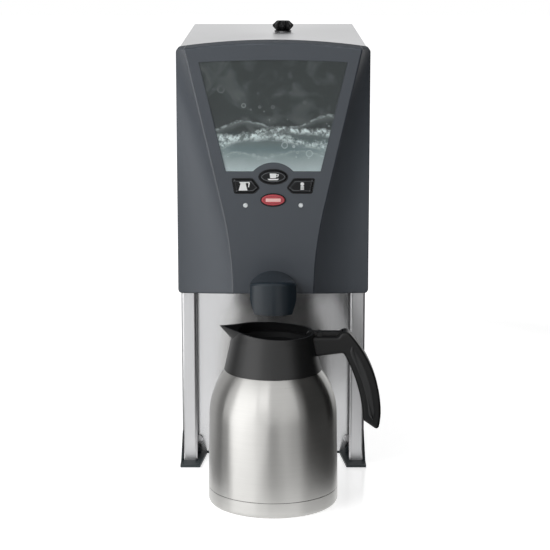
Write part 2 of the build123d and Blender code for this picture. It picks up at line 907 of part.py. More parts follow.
# Heating element: one rod that dips into the tank, runs round it and comes up again
with BuildPart() as heating_element:
    with BuildLine() as rod:
        start_x = loop_radius * cos(loop_start)
        start_y = boiler_y + loop_radius * sin(loop_start)
        rod_top = lid_top + 3 * lid_thickness
        knee = loop_bend * (1 - cos(radians(45)))
        knee_x = loop_leg_x + (start_x - loop_leg_x) * knee / loop_bend
        knee_y = loop_leg_y + (start_y - loop_leg_y) * knee / loop_bend
        Line((loop_leg_x, loop_leg_y, rod_top), (loop_leg_x, loop_leg_y, loop_ring_z + loop_bend))
        ThreePointArc(
            (loop_leg_x, loop_leg_y, loop_ring_z + loop_bend),
            (knee_x, knee_y, loop_ring_z + knee),
            (start_x, start_y, loop_ring_z),
        )
        ThreePointArc(
            (start_x, start_y, loop_ring_z),
            (0, boiler_y + loop_radius, loop_ring_z),
            (-start_x, start_y, loop_ring_z),
        )
        ThreePointArc(
            (-start_x, start_y, loop_ring_z),
            (-knee_x, knee_y, loop_ring_z + knee),
            (-loop_leg_x, loop_leg_y, loop_ring_z + loop_bend),
        )
        Line((-loop_leg_x, loop_leg_y, loop_ring_z + loop_bend), (-loop_leg_x, loop_leg_y, rod_top))
    with BuildSketch(Plane.XY.offset(rod_top)):
        with Locations((loop_leg_x, loop_leg_y)):
            Circle(loop_rod_radius)
    sweep()

with BuildPart() as level_probes:
    for place, length in zip(probe_places, probe_lengths):
        with BuildSketch(Plane.XY.offset(lid_top - length)):
            with Locations(place):
                Circle(probe_radius)
        extrude(amount=length + lid_thickness)
        with BuildSketch(Plane.XY.offset(lid_top)):
            with Locations(place):
                Circle(probe_insulator_radius)
        extrude(amount=2 * lid_thickness)

with BuildPart() as thermal_cutout:
    with BuildSketch(Plane.XY.offset(lid_top)):
        with Locations(cutout_place):
            Circle(9)
    extrude(amount=6)
    with BuildSketch(Plane.XY.offset(lid_top + 6)):
        with Locations(cutout_place):
            with GridLocations(9, 1, 2, 1):
                Rectangle(0.8, 6)
    extrude(amount=5)

# Filler neck through the top cover, with a plug, its seal and the star cap that turns it
neck_top = housing_top + neck_stand
neck_axis = Axis((cap_x, cap_y, 0), (0, 0, 1))
neck_flange = neck_radius + 5
with BuildPart() as filler_neck:
    with BuildSketch(front_plane(cap_y)):
        with Locations((cap_x, 0)):
            Polygon(
                (neck_bore, lid_top - lid_thickness),
                (neck_radius, lid_top - lid_thickness),
                (neck_radius, lid_top),
                (neck_flange, lid_top),
                (neck_flange, lid_top + 2),
                (neck_radius, lid_top + 2),
                (neck_radius, neck_top),
                (neck_bore, neck_top),
                align=None,
            )
    revolve(axis=neck_axis)

plug_top = neck_top + seat_gap
seal_z = plug_top - 0.7 * plug_length
seal_size = 2.4
with BuildPart() as filler_plug:
    with BuildSketch(front_plane(cap_y)):
        with Locations((cap_x, 0)):
            Polygon(
                (0, plug_top - plug_length),
                (neck_bore - running_gap, plug_top - plug_length),
                (neck_bore - running_gap, seal_z - seal_size / 2),
                (neck_bore - running_gap - seal_size, seal_z - seal_size / 2),
                (neck_bore - running_gap - seal_size, seal_z + seal_size / 2),
                (neck_bore - running_gap, seal_z + seal_size / 2),
                (neck_bore - running_gap, plug_top),
                (neck_radius, plug_top),
                (neck_radius, plug_top + sheet),
                (star_pin_radius, plug_top + sheet),
                (star_pin_radius, plug_top + sheet + star_height - 3),
                (0, plug_top + sheet + star_height - 3),
                align=None,
            )
    revolve(axis=neck_axis)

with BuildPart() as plug_seal:
    with BuildSketch(front_plane(cap_y)):
        with Locations((cap_x + neck_bore - running_gap - seal_size / 2, seal_z)):
            Circle(seal_size / 2)
    revolve(axis=neck_axis)

star_bottom = plug_top + sheet + seat_gap
star_levels = [(0.0, 0.66), (0.4, 1.0), (0.6, 1.0), (1.0, 0.6)]
with BuildPart() as star_cap:
    # The lobes are full at half height and draw in towards the top and the bottom
    for level, share in star_levels:
        reach = share * star_radius
        with BuildSketch(Plane.XY.offset(star_bottom + level * star_height)) as star:
            with Locations((cap_x, cap_y)):
                Circle(0.74 * reach)
                with PolarLocations(0.78 * reach, star_lobes):
                    Circle(0.22 * reach)
            fillet(star.vertices(), 0.06 * reach)
    loft(ruled=True)
    with BuildSketch(Plane.XY.offset(star_bottom)):
        with Locations((cap_x, cap_y)):
            Circle(star_pin_radius + running_gap)
    extrude(amount=star_height - 3 + seat_gap, mode=Mode.SUBTRACT)

# Solenoid valves: a block with a barb to the front and a closed tube for the plunger
plunger_seat = 1.5


def valve_body(x, y, z):
    """A valve block round the flow bore, at the point where plunger and bore meet."""
    tube_radius = armature_bore + armature_wall
    barb_end = y - valve_block / 2 - barb_length
    with BuildPart() as body:
        with BuildSketch(front_plane(y + valve_block / 2)):
            with Locations((x, z)):
                Rectangle(valve_width, valve_height)
        extrude(amount=valve_block)
        with BuildSketch(front_plane(y)):
            with Locations((x, z)):
                Circle(barb_radius)
        extrude(amount=y - barb_end)
        with BuildSketch(Plane.XY.offset(z)):
            with Locations((x, y)):
                Circle(tube_radius)
        extrude(amount=valve_height / 2 + armature_height)
        with BuildSketch(front_plane(y + valve_block / 2)):
            with Locations((x, z)):
                Circle(barb_bore)
        extrude(amount=valve_block + barb_length, mode=Mode.SUBTRACT)
        with BuildSketch(Plane.XY.offset(z + plunger_seat - running_gap)):
            with Locations((x, y)):
                Circle(armature_bore)
        blind = valve_height / 2 + armature_height - plunger_seat - 2 * armature_wall
        extrude(amount=blind, mode=Mode.SUBTRACT)
    return body.part


def valve_coil(x, y, z):
    """The coil that slips over a valve's tube and stands on its block."""
    with BuildPart() as coil:
        with BuildSketch(Plane.XY.offset(z + valve_height / 2)):
            with Locations((x, y)):
                RectangleRounded(coil_side, coil_side, 4)
                Circle(armature_bore + armature_wall + running_gap, mode=Mode.SUBTRACT)
        extrude(amount=coil_height)
    return coil.part


def valve_plunger(x, y, z):
    """The iron plunger that the coil lifts, with a rounded lower end."""
    with BuildPart() as plunger:
        with BuildSketch(Plane.XY.offset(z + plunger_seat)):
            with Locations((x, y)):
                Circle(plunger_radius)
        extrude(amount=plunger_length)
        chamfer(plunger.faces().sort_by(Axis.Z)[0].edges(), 1)
    return plunger.part


inlet_y = rear - sheet - 10 - valve_block / 2
with BuildPart() as outlet_valve:
    add(valve_body(0, valve_y, outlet_z))

with BuildPart() as outlet_coil:
    add(valve_coil(0, valve_y, outlet_z))

with BuildPart() as outlet_plunger:
    add(valve_plunger(0, valve_y, outlet_z))

with BuildPart() as inlet_valve:
    add(valve_body(inlet_x, inlet_y, inlet_z))
    with BuildSketch(front_plane(inlet_y + valve_block / 2)):
        with Locations((inlet_x, inlet_z)):
            Circle(thread_radius + 3 * thread_shoulder)
    extrude(amount=-(rear - sheet - inlet_y - valve_block / 2))
    # A plain shoulder fills the hole of the rear panel and the thread stands on it
    with BuildSketch(front_plane(rear - sheet)):
        with Locations((inlet_x, inlet_z)):
            Circle(thread_radius + thread_shoulder)
    extrude(amount=-sheet)
    with BuildSketch(front_plane(rear)):
        with Locations((inlet_x, inlet_z)):
            Circle(thread_radius)
    extrude(amount=-thread_length)
    chamfer(inlet_valve.faces().sort_by(Axis.Y)[-1].edges(), 1)
    with BuildSketch(front_plane(rear + thread_length)):
        with Locations((inlet_x, inlet_z)):
            Circle(0.65 * thread_radius)
    extrude(amount=thread_length + 5, mode=Mode.SUBTRACT)
    with BuildSketch(front_plane(rear)):
        with Locations((inlet_x, inlet_z)):
            Circle(barb_bore)
    extrude(amount=rear - inlet_y, mode=Mode.SUBTRACT)

with BuildPart() as inlet_coil:
    add(valve_coil(inlet_x, inlet_y, inlet_z))

with BuildPart() as inlet_plunger:
    add(valve_plunger(inlet_x, inlet_y, inlet_z))


def hose(points):
    """A hose along straight runs and arcs, with the barbs' size as its bore."""
    with BuildPart() as tube:
        with BuildLine() as route:
            FilletPolyline(*points, radius=hose_bend)
        with BuildSketch(Plane(route.line @ 0, z_dir=route.line % 0)):
            Circle(barb_radius + running_gap + hose_wall)
            Circle(barb_radius + running_gap, mode=Mode.SUBTRACT)
        sweep()
    return tube.part


# Outlet hose from valve to nozzle, and fill hose from the water inlet to the boiler
outlet_start = valve_y - valve_block / 2 - 3
fill_start = inlet_y - valve_block / 2 - 3
outlet_hose_points = [
    (0, outlet_start, outlet_z),
    (0, outlet_start - 58, outlet_z),
    (0, outlet_start - 106, spout_hose_z),
    (0, nozzle_y + nozzle_radius + 4, spout_hose_z),
]
fill_hose_points = [
    (inlet_x, fill_start, inlet_z),
    (inlet_x, boiler_y + 60, inlet_z),
    (fill_x, boiler_y, inlet_z + 48),
    (fill_x, boiler_y, shelf_height - 3),
]
with BuildPart() as outlet_hose:
    add(hose(outlet_hose_points))

with BuildPart() as fill_hose:
    add(hose(fill_hose_points))

# Mains inlet with three blades in its socket
mains_flange = 2.0
with BuildPart() as mains_inlet:
    with BuildSketch(front_plane(rear)):
        with Locations((mains_x, mains_z)):
            Rectangle(mains_width, mains_height)
    extrude(amount=mains_depth)
    with BuildSketch(front_plane(rear)):
        with Locations((mains_x, mains_z)):
            RectangleRounded(mains_width + 8, mains_height + 6, 3)
    extrude(amount=-mains_flange)
    with BuildSketch(front_plane(rear + mains_flange)):
        with Locations((mains_x, mains_z)):
            Rectangle(mains_width - 3.5, mains_height - 3.5)
    extrude(amount=mains_depth - 2, mode=Mode.SUBTRACT)
    with BuildSketch(front_plane(rear - mains_depth)):
        with Locations((mains_x - 7, mains_z - 2), (mains_x, mains_z + 2), (mains_x + 7, mains_z - 2)):
            Rectangle(2, 5)
    extrude(amount=-(mains_depth - 3))

# Power board on posts of the base tray, with transformer and relay
with BuildPart() as power_board:
    with BuildSketch(Plane.XY.offset(power_face)):
        with Locations((power_x, power_y)):
            Rectangle(power_width, power_length)
    extrude(amount=board_thickness)

# The laminated core stands on the board and the winding goes round its middle
transformer_place = (power_x + power_width / 4 - 2, power_y + power_length / 4 - 2.5)
winding_lift = transformer_height / 5
with BuildPart() as transformer:
    with BuildSketch(Plane.XY.offset(board_top)):
        with Locations(transformer_place):
            Rectangle(transformer_side, transformer_depth)
    extrude(amount=transformer_height)
    with BuildSketch(Plane.XY.offset(board_top + winding_lift)):
        with Locations(transformer_place):
            RectangleRounded(0.65 * transformer_side, transformer_depth + 12, 3)
    extrude(amount=transformer_height - 2 * winding_lift)

sink_place = (power_x - power_width / 4, power_y - power_length / 9)
with BuildPart() as relay_heat_sink:
    with BuildSketch(Plane.XY.offset(board_top)):
        with Locations(sink_place):
            Rectangle(sink_width, sink_length)
    extrude(amount=sink_base)
    with BuildSketch(Plane.XY.offset(board_top + sink_base)):
        with Locations(sink_place):
            with GridLocations(sink_fin_pitch, 1, sink_fins, 1):
                Rectangle(1.5, sink_length)
    extrude(amount=sink_fin_height)

# Small fixings at the foot of the splash panel
clip_radius = 4.0
clip_hole = 2.0
clip_x = 84.5
clip_y = splash_y - 8
splash_screw_x = 83.0
splash_screw_z = 17.8
splash_screw_radius = 4.4
with BuildPart() as foot_clips:
    with BuildSketch(front_plane(clip_y)):
        with Locations((-clip_x, tray_thickness), (clip_x, tray_thickness)):
            with Locations((0, clip_radius)):
                Circle(clip_radius)
            with Locations((0, clip_radius / 2)):
                Rectangle(2 * clip_radius, clip_radius)
            with Locations((0, clip_radius)):
                Circle(clip_hole, mode=Mode.SUBTRACT)
    extrude(amount=2)

with BuildPart() as splash_screws:
    with BuildSketch(front_plane(splash_y)):
        with Locations((-splash_screw_x, splash_screw_z), (splash_screw_x, splash_screw_z)):
            Circle(splash_screw_radius)
    extrude(amount=2.6)
    chamfer(splash_screws.edges().group_by(Axis.Y)[0], 0.8)

# Vacuum jug: outer wall, inner flask and base cap share one axis
jug_axis = Axis((0, jug_y, 0), (0, 0, 1))
neck_root_z = jug_dome_z + 7


def jug_wall_line(inset):
    """The jug's outer side from the seam to the mouth, drawn in by an inset."""
    with BuildLine() as side:
        Polyline(
            (jug_base_radius - inset, jug_seam_z),
            (jug_base_radius - inset, jug_seam_z + 2 * jug_wall),
            (jug_shoulder_radius - inset, jug_shoulder_z),
        )
        TangentArc(
            (jug_shoulder_radius - inset, jug_shoulder_z),
            (jug_dome_radius - inset, jug_dome_z - inset / 2),
            tangent=(0, 1),
        )
        Polyline(
            (jug_dome_radius - inset, jug_dome_z - inset / 2),
            (jug_neck_radius - inset, neck_root_z - inset / 2),
            (jug_neck_radius - inset, jug_neck_z),
        )
    return side.line


with BuildPart() as jug_body:
    with BuildSketch(front_plane(jug_y)):
        with BuildLine():
            add(jug_wall_line(0))
            offset(amount=jug_wall, side=Side.LEFT)
        make_face()
    revolve(axis=jug_axis)
    chamfer(jug_body.edges().group_by(Axis.Z)[0].sort_by(SortBy.RADIUS)[-1], jug_seam_bevel)

flask_inset = jug_wall + jug_vacuum
flask_floor = jug_seam_z - 2
with BuildPart() as inner_flask:
    with BuildSketch(front_plane(jug_y)) as flask:
        with BuildLine():
            Polyline(
                (0, flask_floor),
                (jug_base_radius - flask_inset, flask_floor),
                (jug_base_radius - flask_inset, jug_seam_z),
            )
            add(jug_wall_line(flask_inset))
            offset(amount=jug_wall, side=Side.LEFT)
        make_face()
    revolve(axis=jug_axis)
    with BuildSketch(Plane.XY.offset(jug_neck_z)):
        with Locations((0, jug_y)):
            Circle(jug_neck_radius - jug_wall)
            Circle(jug_neck_radius - flask_inset - jug_wall, mode=Mode.SUBTRACT)
    extrude(amount=-jug_wall)

cap_floor = 2.5
with BuildPart() as jug_base_cap:
    with BuildSketch(front_plane(jug_y)):
        with BuildLine():
            Polyline(
                (0, cap_floor),
                (jug_base_radius - 2 * jug_base_round, cap_floor),
                (jug_base_radius - 1.6 * jug_base_round, 0),
                (jug_base_radius - jug_base_round, 0),
            )
            ThreePointArc(
                (jug_base_radius - jug_base_round, 0),
                (
                    jug_base_radius - jug_base_round * (1 - sin(radians(45))),
                    jug_base_round * (1 - cos(radians(45))),
                ),
                (jug_base_radius, jug_base_round),
            )
            Polyline(
                (jug_base_radius, jug_base_round),
                (jug_base_radius, jug_seam_z),
                (jug_base_radius - jug_wall, jug_seam_z),
                (jug_base_radius - jug_wall, jug_base_round + jug_wall),
                (jug_base_radius - jug_base_round, cap_floor + jug_wall),
                (0, cap_floor + jug_wall),
                (0, cap_floor),
            )
        make_face()
    revolve(axis=jug_axis)
    chamfer(jug_base_cap.edges().group_by(Axis.Z)[-1].sort_by(SortBy.RADIUS)[-1], jug_seam_bevel)


def collar_sketch(z, radius, tip):
    """A circle at height z with tangent sides that meet at a tip on the left."""
    reach = radius * radius / tip
    spread = (radius * radius - reach * reach) ** 0.5
    with BuildSketch(Plane((0, jug_y, z))) as ring:
        with BuildLine():
            ThreePointArc((-reach, spread), (radius, 0), (-reach, -spread))
            Polyline((-reach, -spread), (-tip, 0), (-reach, spread))
        make_face()
    return ring.sketch


collar_foot_z = jug_dome_z
collar_foot_radius = jug_dome_radius + 0.5
collar_top_z = collar_rim_z + beak_rise + 1.5
throat_reach = collar_waist_radius + 0.6
with BuildPart() as collar_form:
    for z, radius in (
        (collar_foot_z, collar_foot_radius),
        (collar_middle_z, collar_middle_radius),
        (collar_waist_z, collar_waist_radius),
    ):
        add(collar_sketch(z, radius, radius + 0.6))
    loft()
    add(collar_sketch(collar_waist_z, collar_waist_radius, throat_reach))
    add(collar_sketch(collar_top_z, collar_rim_radius, beak_reach + 1))
    loft(ruled=True)

with BuildPart() as jug_collar:
    add(collar_form.part)
    # Hollow for the lid, and the beak's channel above the throat
    neck_room = jug_neck_radius + 2 * running_gap
    throat_room = collar_waist_radius - collar_wall
    rim_room = collar_rim_radius - collar_wall
    add(collar_sketch(jug_neck_z, neck_room, neck_room + 0.6))
    add(collar_sketch(collar_waist_z, throat_room, throat_reach - collar_wall))
    loft(ruled=True, mode=Mode.SUBTRACT)
    add(collar_sketch(collar_waist_z, throat_room, throat_reach - collar_wall))
    add(collar_sketch(collar_top_z, rim_room, beak_reach + 1 - 1.3 * collar_wall))
    loft(ruled=True, mode=Mode.SUBTRACT)
    # Seat over the shoulder and neck of the body
    with BuildSketch(front_plane(jug_y)):
        with BuildLine():
            add(jug_wall_line(0))
            Polyline(
                (jug_neck_radius, jug_neck_z),
                (0, jug_neck_z),
                (0, jug_seam_z),
                (jug_base_radius, jug_seam_z),
            )
        make_face()
    revolve(axis=jug_axis, mode=Mode.SUBTRACT)
    # Rim that rises towards the beak
    with BuildSketch(front_plane(jug_y + jug_base_radius)):
        with BuildLine():
            ThreePointArc(
                (jug_base_radius, collar_rim_z - 1),
                (-0.4 * collar_rim_radius, collar_rim_z),
                (-beak_reach - 2, collar_rim_z + beak_rise),
            )
            Polyline(
                (-beak_reach - 2, collar_rim_z + beak_rise),
                (-beak_reach - 2, collar_top_z + 10),
                (jug_base_radius, collar_top_z + 10),
                (jug_base_radius, collar_rim_z - 1),
            )
        make_face()
    extrude(amount=2 * jug_base_radius, mode=Mode.SUBTRACT)
    # Notch for the lever
    with BuildSketch(Plane.XY.offset(lever_top - lever_thickness - 1)):
        with Locations((collar_rim_radius, jug_y)):
            Rectangle(20, lever_width + 2 * flange_gap)
    extrude(amount=20, mode=Mode.SUBTRACT)

# Lid: a dished insert, and the funnel in its middle that drains into the jug
lid_radius_jug = collar_rim_radius - collar_wall - flange_gap
funnel_radius = lid_hole_radius + funnel_wall
lid_dish_z = lid_top_z - 9
with BuildPart() as jug_lid:
    with BuildSketch(front_plane(jug_y)):
        with BuildLine():
            Polyline(
                (lid_radius_jug, jug_neck_z),
                (lid_radius_jug, lid_top_z),
                (lid_radius_jug - 6, lid_top_z),
                (lid_radius_jug - 8, lid_top_z - 5),
                (lid_radius_jug - 14, lid_top_z - 7),
                (funnel_radius, lid_dish_z),
                (funnel_radius, jug_neck_z),
                close=True,
            )
        make_face()
    revolve(axis=jug_axis)

with BuildPart() as lid_funnel:
    with BuildSketch(Plane.XY.offset(lid_dish_z)):
        with Locations((0, jug_y)):
            Circle(funnel_radius)
            Circle(lid_hole_radius, mode=Mode.SUBTRACT)
    extrude(amount=jug_neck_z - funnel_drop - lid_dish_z)

lever_nose_x = lever_pin_x - lever_nose
lever_end_x = lever_nose_x + lever_length
lever_bottom = lever_top - lever_thickness

# Handle: a bridge from the collar and a grip that hangs free
with BuildPart() as jug_handle:
    with BuildSketch(front_plane(jug_y)) as handle_side:
        with BuildLine():
            Line((bridge_root, bridge_top), (hump_root_x, bridge_top))
            ThreePointArc(
                (hump_root_x, bridge_top), (hump_top_x, hump_top_z), (grip_top_x, grip_top_z)
            )
            grip_back = ThreePointArc(
                (grip_top_x, grip_top_z), (grip_bow_x, grip_bow_z), (grip_end_x, grip_end_z)
            )
            TangentArc(
                (grip_end_x, grip_end_z), (grip_heel_x, grip_heel_z), tangent=grip_back % 1
            )
            Line((grip_heel_x, grip_heel_z), (grip_toe_x, grip_toe_z))
            ThreePointArc(
                (grip_toe_x, grip_toe_z), (grip_hollow_x, grip_hollow_z), (grip_root_x, grip_root_z)
            )
            Polyline(
                (grip_root_x, grip_root_z), (bridge_root, bridge_bottom), (bridge_root, bridge_top)
            )
        make_face()
        corners = handle_side.vertices().sort_by_distance((grip_end_x, grip_end_z, 0))
        fillet(corners[1:], handle_round)
    extrude(amount=bridge_half, both=True)
    fillet(jug_handle.faces().filter_by(Axis.Y).edges(), handle_round)
    add(collar_form.part, mode=Mode.SUBTRACT)
    with BuildSketch(Plane.XY.offset(lever_top - lever_thickness - lever_travel + 1)):
        with Locations((collar_rim_radius, jug_y)):
            Rectangle(
                lever_end_x + lever_room - collar_rim_radius,
                lever_width + 2 * flange_gap,
                align=(Align.MIN, Align.CENTER),
            )
    extrude(amount=20, mode=Mode.SUBTRACT)
    # Ears that hold the lever's pin
    for side in (-1, 1):
        with BuildSketch(front_plane(jug_y + side * (lever_width / 2 + flange_gap))):
            with Locations((lever_pin_x, lever_top - lever_thickness / 2)):
                Circle(lever_thickness / 2)
            with Locations((lever_pin_x, bridge_top - 1)):
                Rectangle(lever_thickness, 4)
        extrude(amount=-side * ear_thickness)
    with BuildSketch(front_plane(jug_y)):
        with Locations((lever_pin_x, lever_top - lever_thickness / 2)):
            Circle(lever_pin_radius + running_gap)
    extrude(amount=bridge_half, both=True, mode=Mode.SUBTRACT)

# Lever that the thumb tips, and its pin
with BuildPart() as thumb_lever:
    with BuildSketch(front_plane(jug_y)):
        with BuildLine():
            Polyline(
                (lever_nose_x, lever_bottom),
                (lever_end_x, lever_bottom),
                (lever_end_x, lever_top),
                (lever_nose_x + 2, lever_top),
                (lever_nose_x, lever_top - 2),
                close=True,
            )
        make_face()
        with Locations((lever_pin_x, lever_bottom + lever_thickness / 2)):
            Circle(lever_pin_radius + running_gap, mode=Mode.SUBTRACT)
    extrude(amount=lever_width / 2, both=True)

with BuildPart() as lever_pin:
    with BuildSketch(front_plane(jug_y)):
        with Locations((lever_pin_x, lever_bottom + lever_thickness / 2)):
            Circle(lever_pin_radius)
    extrude(amount=lever_width / 2 + flange_gap + ear_thickness, both=True)

os.makedirs("parts", exist_ok=True)
for label, piece in {
    "base_tray": base_tray,
    "right_side_panel": right_side_panel,
    "left_side_panel": left_side_panel,
    "top_cover": top_cover,
    "rear_panel": rear_panel,
    "splash_panel": splash_panel,
    "equipment_shelf": equipment_shelf,
    "front_panel": front_panel,
    "panel_screws": panel_screws,
    "picture_insert": picture_insert,
    "display_window": display_window,
    "jug_button": jug_button,
    "cup_button": cup_button,
    "column_button": column_button,
    "stop_button": stop_button,
    "lamp_lenses": lamp_lenses,
    "control_board": control_board,
    "push_switches": push_switches,
    "spout_cover": spout_cover,
    "outlet_nozzle": outlet_nozzle,
    "outlet_hose": outlet_hose,
    "outlet_valve": outlet_valve,
    "outlet_coil": outlet_coil,
    "outlet_plunger": outlet_plunger,
    "boiler_tank": boiler_tank,
    "lid_gasket": lid_gasket,
    "boiler_lid": boiler_lid,
    "lid_bolts": lid_bolts,
    "insulation_jacket": insulation_jacket,
    "heating_element": heating_element,
    "level_probes": level_probes,
    "thermal_cutout": thermal_cutout,
    "filler_neck": filler_neck,
    "filler_plug": filler_plug,
    "plug_seal": plug_seal,
    "star_cap": star_cap,
    "inlet_valve": inlet_valve,
    "inlet_coil": inlet_coil,
    "inlet_plunger": inlet_plunger,
    "fill_hose": fill_hose,
    "mains_inlet": mains_inlet,
    "power_board": power_board,
    "transformer": transformer,
    "relay_heat_sink": relay_heat_sink,
    "foot_clips": foot_clips,
    "splash_screws": splash_screws,
    "jug_body": jug_body,
    "inner_flask": inner_flask,
    "jug_base_cap": jug_base_cap,
    "jug_collar": jug_collar,
    "jug_lid": jug_lid,
    "lid_funnel": lid_funnel,
    "jug_handle": jug_handle,
    "thumb_lever": thumb_lever,
    "lever_pin": lever_pin,
}.items():
    piece.part.label = label
    export_step(piece.part, f"parts/{label}.step")
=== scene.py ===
"""Counter top hot beverage dispenser with its vacuum jug: finishes, signs and a soft studio."""
import math
from functools import partial

import bmesh
import bpy
from bpy.props import FloatProperty, FloatVectorProperty, PointerProperty
from mathutils import Matrix, Vector


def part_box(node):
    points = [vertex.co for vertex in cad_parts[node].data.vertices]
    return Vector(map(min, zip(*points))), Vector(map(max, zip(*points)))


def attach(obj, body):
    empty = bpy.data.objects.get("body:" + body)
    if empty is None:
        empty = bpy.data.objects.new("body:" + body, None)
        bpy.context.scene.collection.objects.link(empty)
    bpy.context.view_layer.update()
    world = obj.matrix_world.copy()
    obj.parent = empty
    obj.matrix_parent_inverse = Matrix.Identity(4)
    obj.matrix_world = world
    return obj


bl_info = {
    "name": "Hot Beverage Dispenser",
    "version": (1, 0, 0),
    "blender": (4, 5, 0),
    "location": "View3D > Sidebar > Dispenser",
    "description": "Finishes a counter top hot beverage dispenser and its vacuum jug",
    "category": "Object",
}

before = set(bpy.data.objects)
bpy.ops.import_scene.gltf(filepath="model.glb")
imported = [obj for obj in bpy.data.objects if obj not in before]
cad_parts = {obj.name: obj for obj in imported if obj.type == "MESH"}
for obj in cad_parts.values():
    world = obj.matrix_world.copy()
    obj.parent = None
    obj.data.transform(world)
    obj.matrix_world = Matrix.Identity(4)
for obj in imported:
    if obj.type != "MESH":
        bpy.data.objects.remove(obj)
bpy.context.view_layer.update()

WHITE = (1, 1, 1, 1)
QUARTER_TURN = 0.25
UPRIGHT = Matrix.Rotation(math.radians(90), 3, "X")
BUTTONS = ("jug_button", "cup_button", "column_button", "stop_button")
ROUND_BUTTONS = ("cup_button", "stop_button")
# An outer button's outline, in halves of its width and height
BUTTON_CORNERS = ((1, 1), (-0.5, 1), (-1, -0.25), (-0.593, -1), (0.807, -1))
# Signs are drawn in twelfths of their width, and the column in twelfths of its height
SIGN_GRID = 12
# The grip's inlay in millimetres across and up: down its outer edge, then up its inner edge
INLAY_OUTER = (
    (80.0, 165.5), (88.5, 152.6), (95.0, 138.5), (99.5, 123.5),
    (102.4, 108.5), (103.9, 95.5), (102.4, 86.8),
)
INLAY_INNER = (
    (97.6, 92.5), (96.3, 103.5), (93.8, 116.0), (90.0, 129.5),
    (84.9, 142.5), (79.9, 153.0), (77.8, 159.5),
)
MILLIMETRE = 1 / 1000


def colour_property(label, words, value):
    """A colour that the sidebar shows as a swatch."""
    return FloatVectorProperty(
        name=label, description=words, subtype="COLOR", size=3, min=0, max=1, default=value
    )


def length_property(label, words, value):
    """A length in metres."""
    return FloatProperty(
        name=label, description=words, subtype="DISTANCE", unit="LENGTH", default=value
    )


class DispenserColours(bpy.types.PropertyGroup):
    """Colours of the dispenser's and the jug's finishes."""

    sheet: colour_property("Sheet", "Brushed stainless sheet", (0.53, 0.532, 0.54))
    jug_sheet: colour_property("Jug steel", "Brushed steel of the jug", (0.51, 0.505, 0.49))
    panel: colour_property("Panel", "Moulded front panel", (0.066, 0.075, 0.088))
    spout: colour_property("Spout", "Spout cover", (0.014, 0.022, 0.03))
    black: colour_property("Black", "Black mouldings of jug and cap", (0.006, 0.0062, 0.0065))
    tray: colour_property("Tray", "Base tray", (0.022, 0.032, 0.036))
    button: colour_property("Button", "Black push buttons", (0.006, 0.0065, 0.0075))
    stop: colour_property("Stop", "Red push button", (0.52, 0.075, 0.09))
    # Pale band on the black buttons, a painted highlight of their chamfered edge
    painted_edge: colour_property("Contour", "Fine contour on the black buttons", (0.15, 0.16, 0.17))
    sign: colour_property("Sign", "White signs on the buttons", (0.85, 0.86, 0.86))
    stop_sign: colour_property("Stop sign", "Pale bar on the red button", (0.9, 0.55, 0.52))
    lamp: colour_property("Lamp", "Round lamp lenses", (0.75, 0.79, 0.8))
    glazing: colour_property("Glazing", "Clear window over the picture", (0.93, 0.96, 0.96))
    picture_top: colour_property("Picture top", "Top of the picture", (0.038, 0.04, 0.041))
    picture_middle: colour_property("Picture middle", "Middle of the picture", (0.085, 0.11, 0.115))
    picture_bottom: colour_property("Picture bottom", "Foot of the picture", (0.62, 0.68, 0.69))
    picture_light: colour_property("Picture light", "Ribbons and bubbles", (0.9, 0.95, 0.95))
    screw: colour_property("Screw", "Screws and bolts", (0.55, 0.55, 0.56))
    # Dark line in the jug's foot seam: painted shade of its groove, and dirt
    seam: colour_property("Seam", "Dark seam round the jug's foot", (0.05, 0.05, 0.048))
    tank: colour_property("Tank", "Drawn steel of the boiler", (0.5, 0.5, 0.51))
    brass: colour_property("Brass", "Valve bodies", (0.55, 0.38, 0.13))
    iron: colour_property("Iron", "Plungers and transformer", (0.2, 0.19, 0.185))
    aluminium: colour_property("Aluminium", "Heat sink", (0.5, 0.51, 0.52))
    resin: colour_property("Resin", "Coils and switches", (0.02, 0.02, 0.023))
    board: colour_property("Board", "Circuit boards", (0.015, 0.11, 0.04))
    rubber: colour_property("Rubber", "Gasket and seal", (0.02, 0.02, 0.02))
    foam: colour_property("Foam", "Insulation jacket", (0.09, 0.09, 0.095))
    hose: colour_property("Hose", "Silicone hoses", (0.55, 0.53, 0.49))
    ceramic: colour_property("Ceramic", "Level probes", (0.8, 0.79, 0.76))


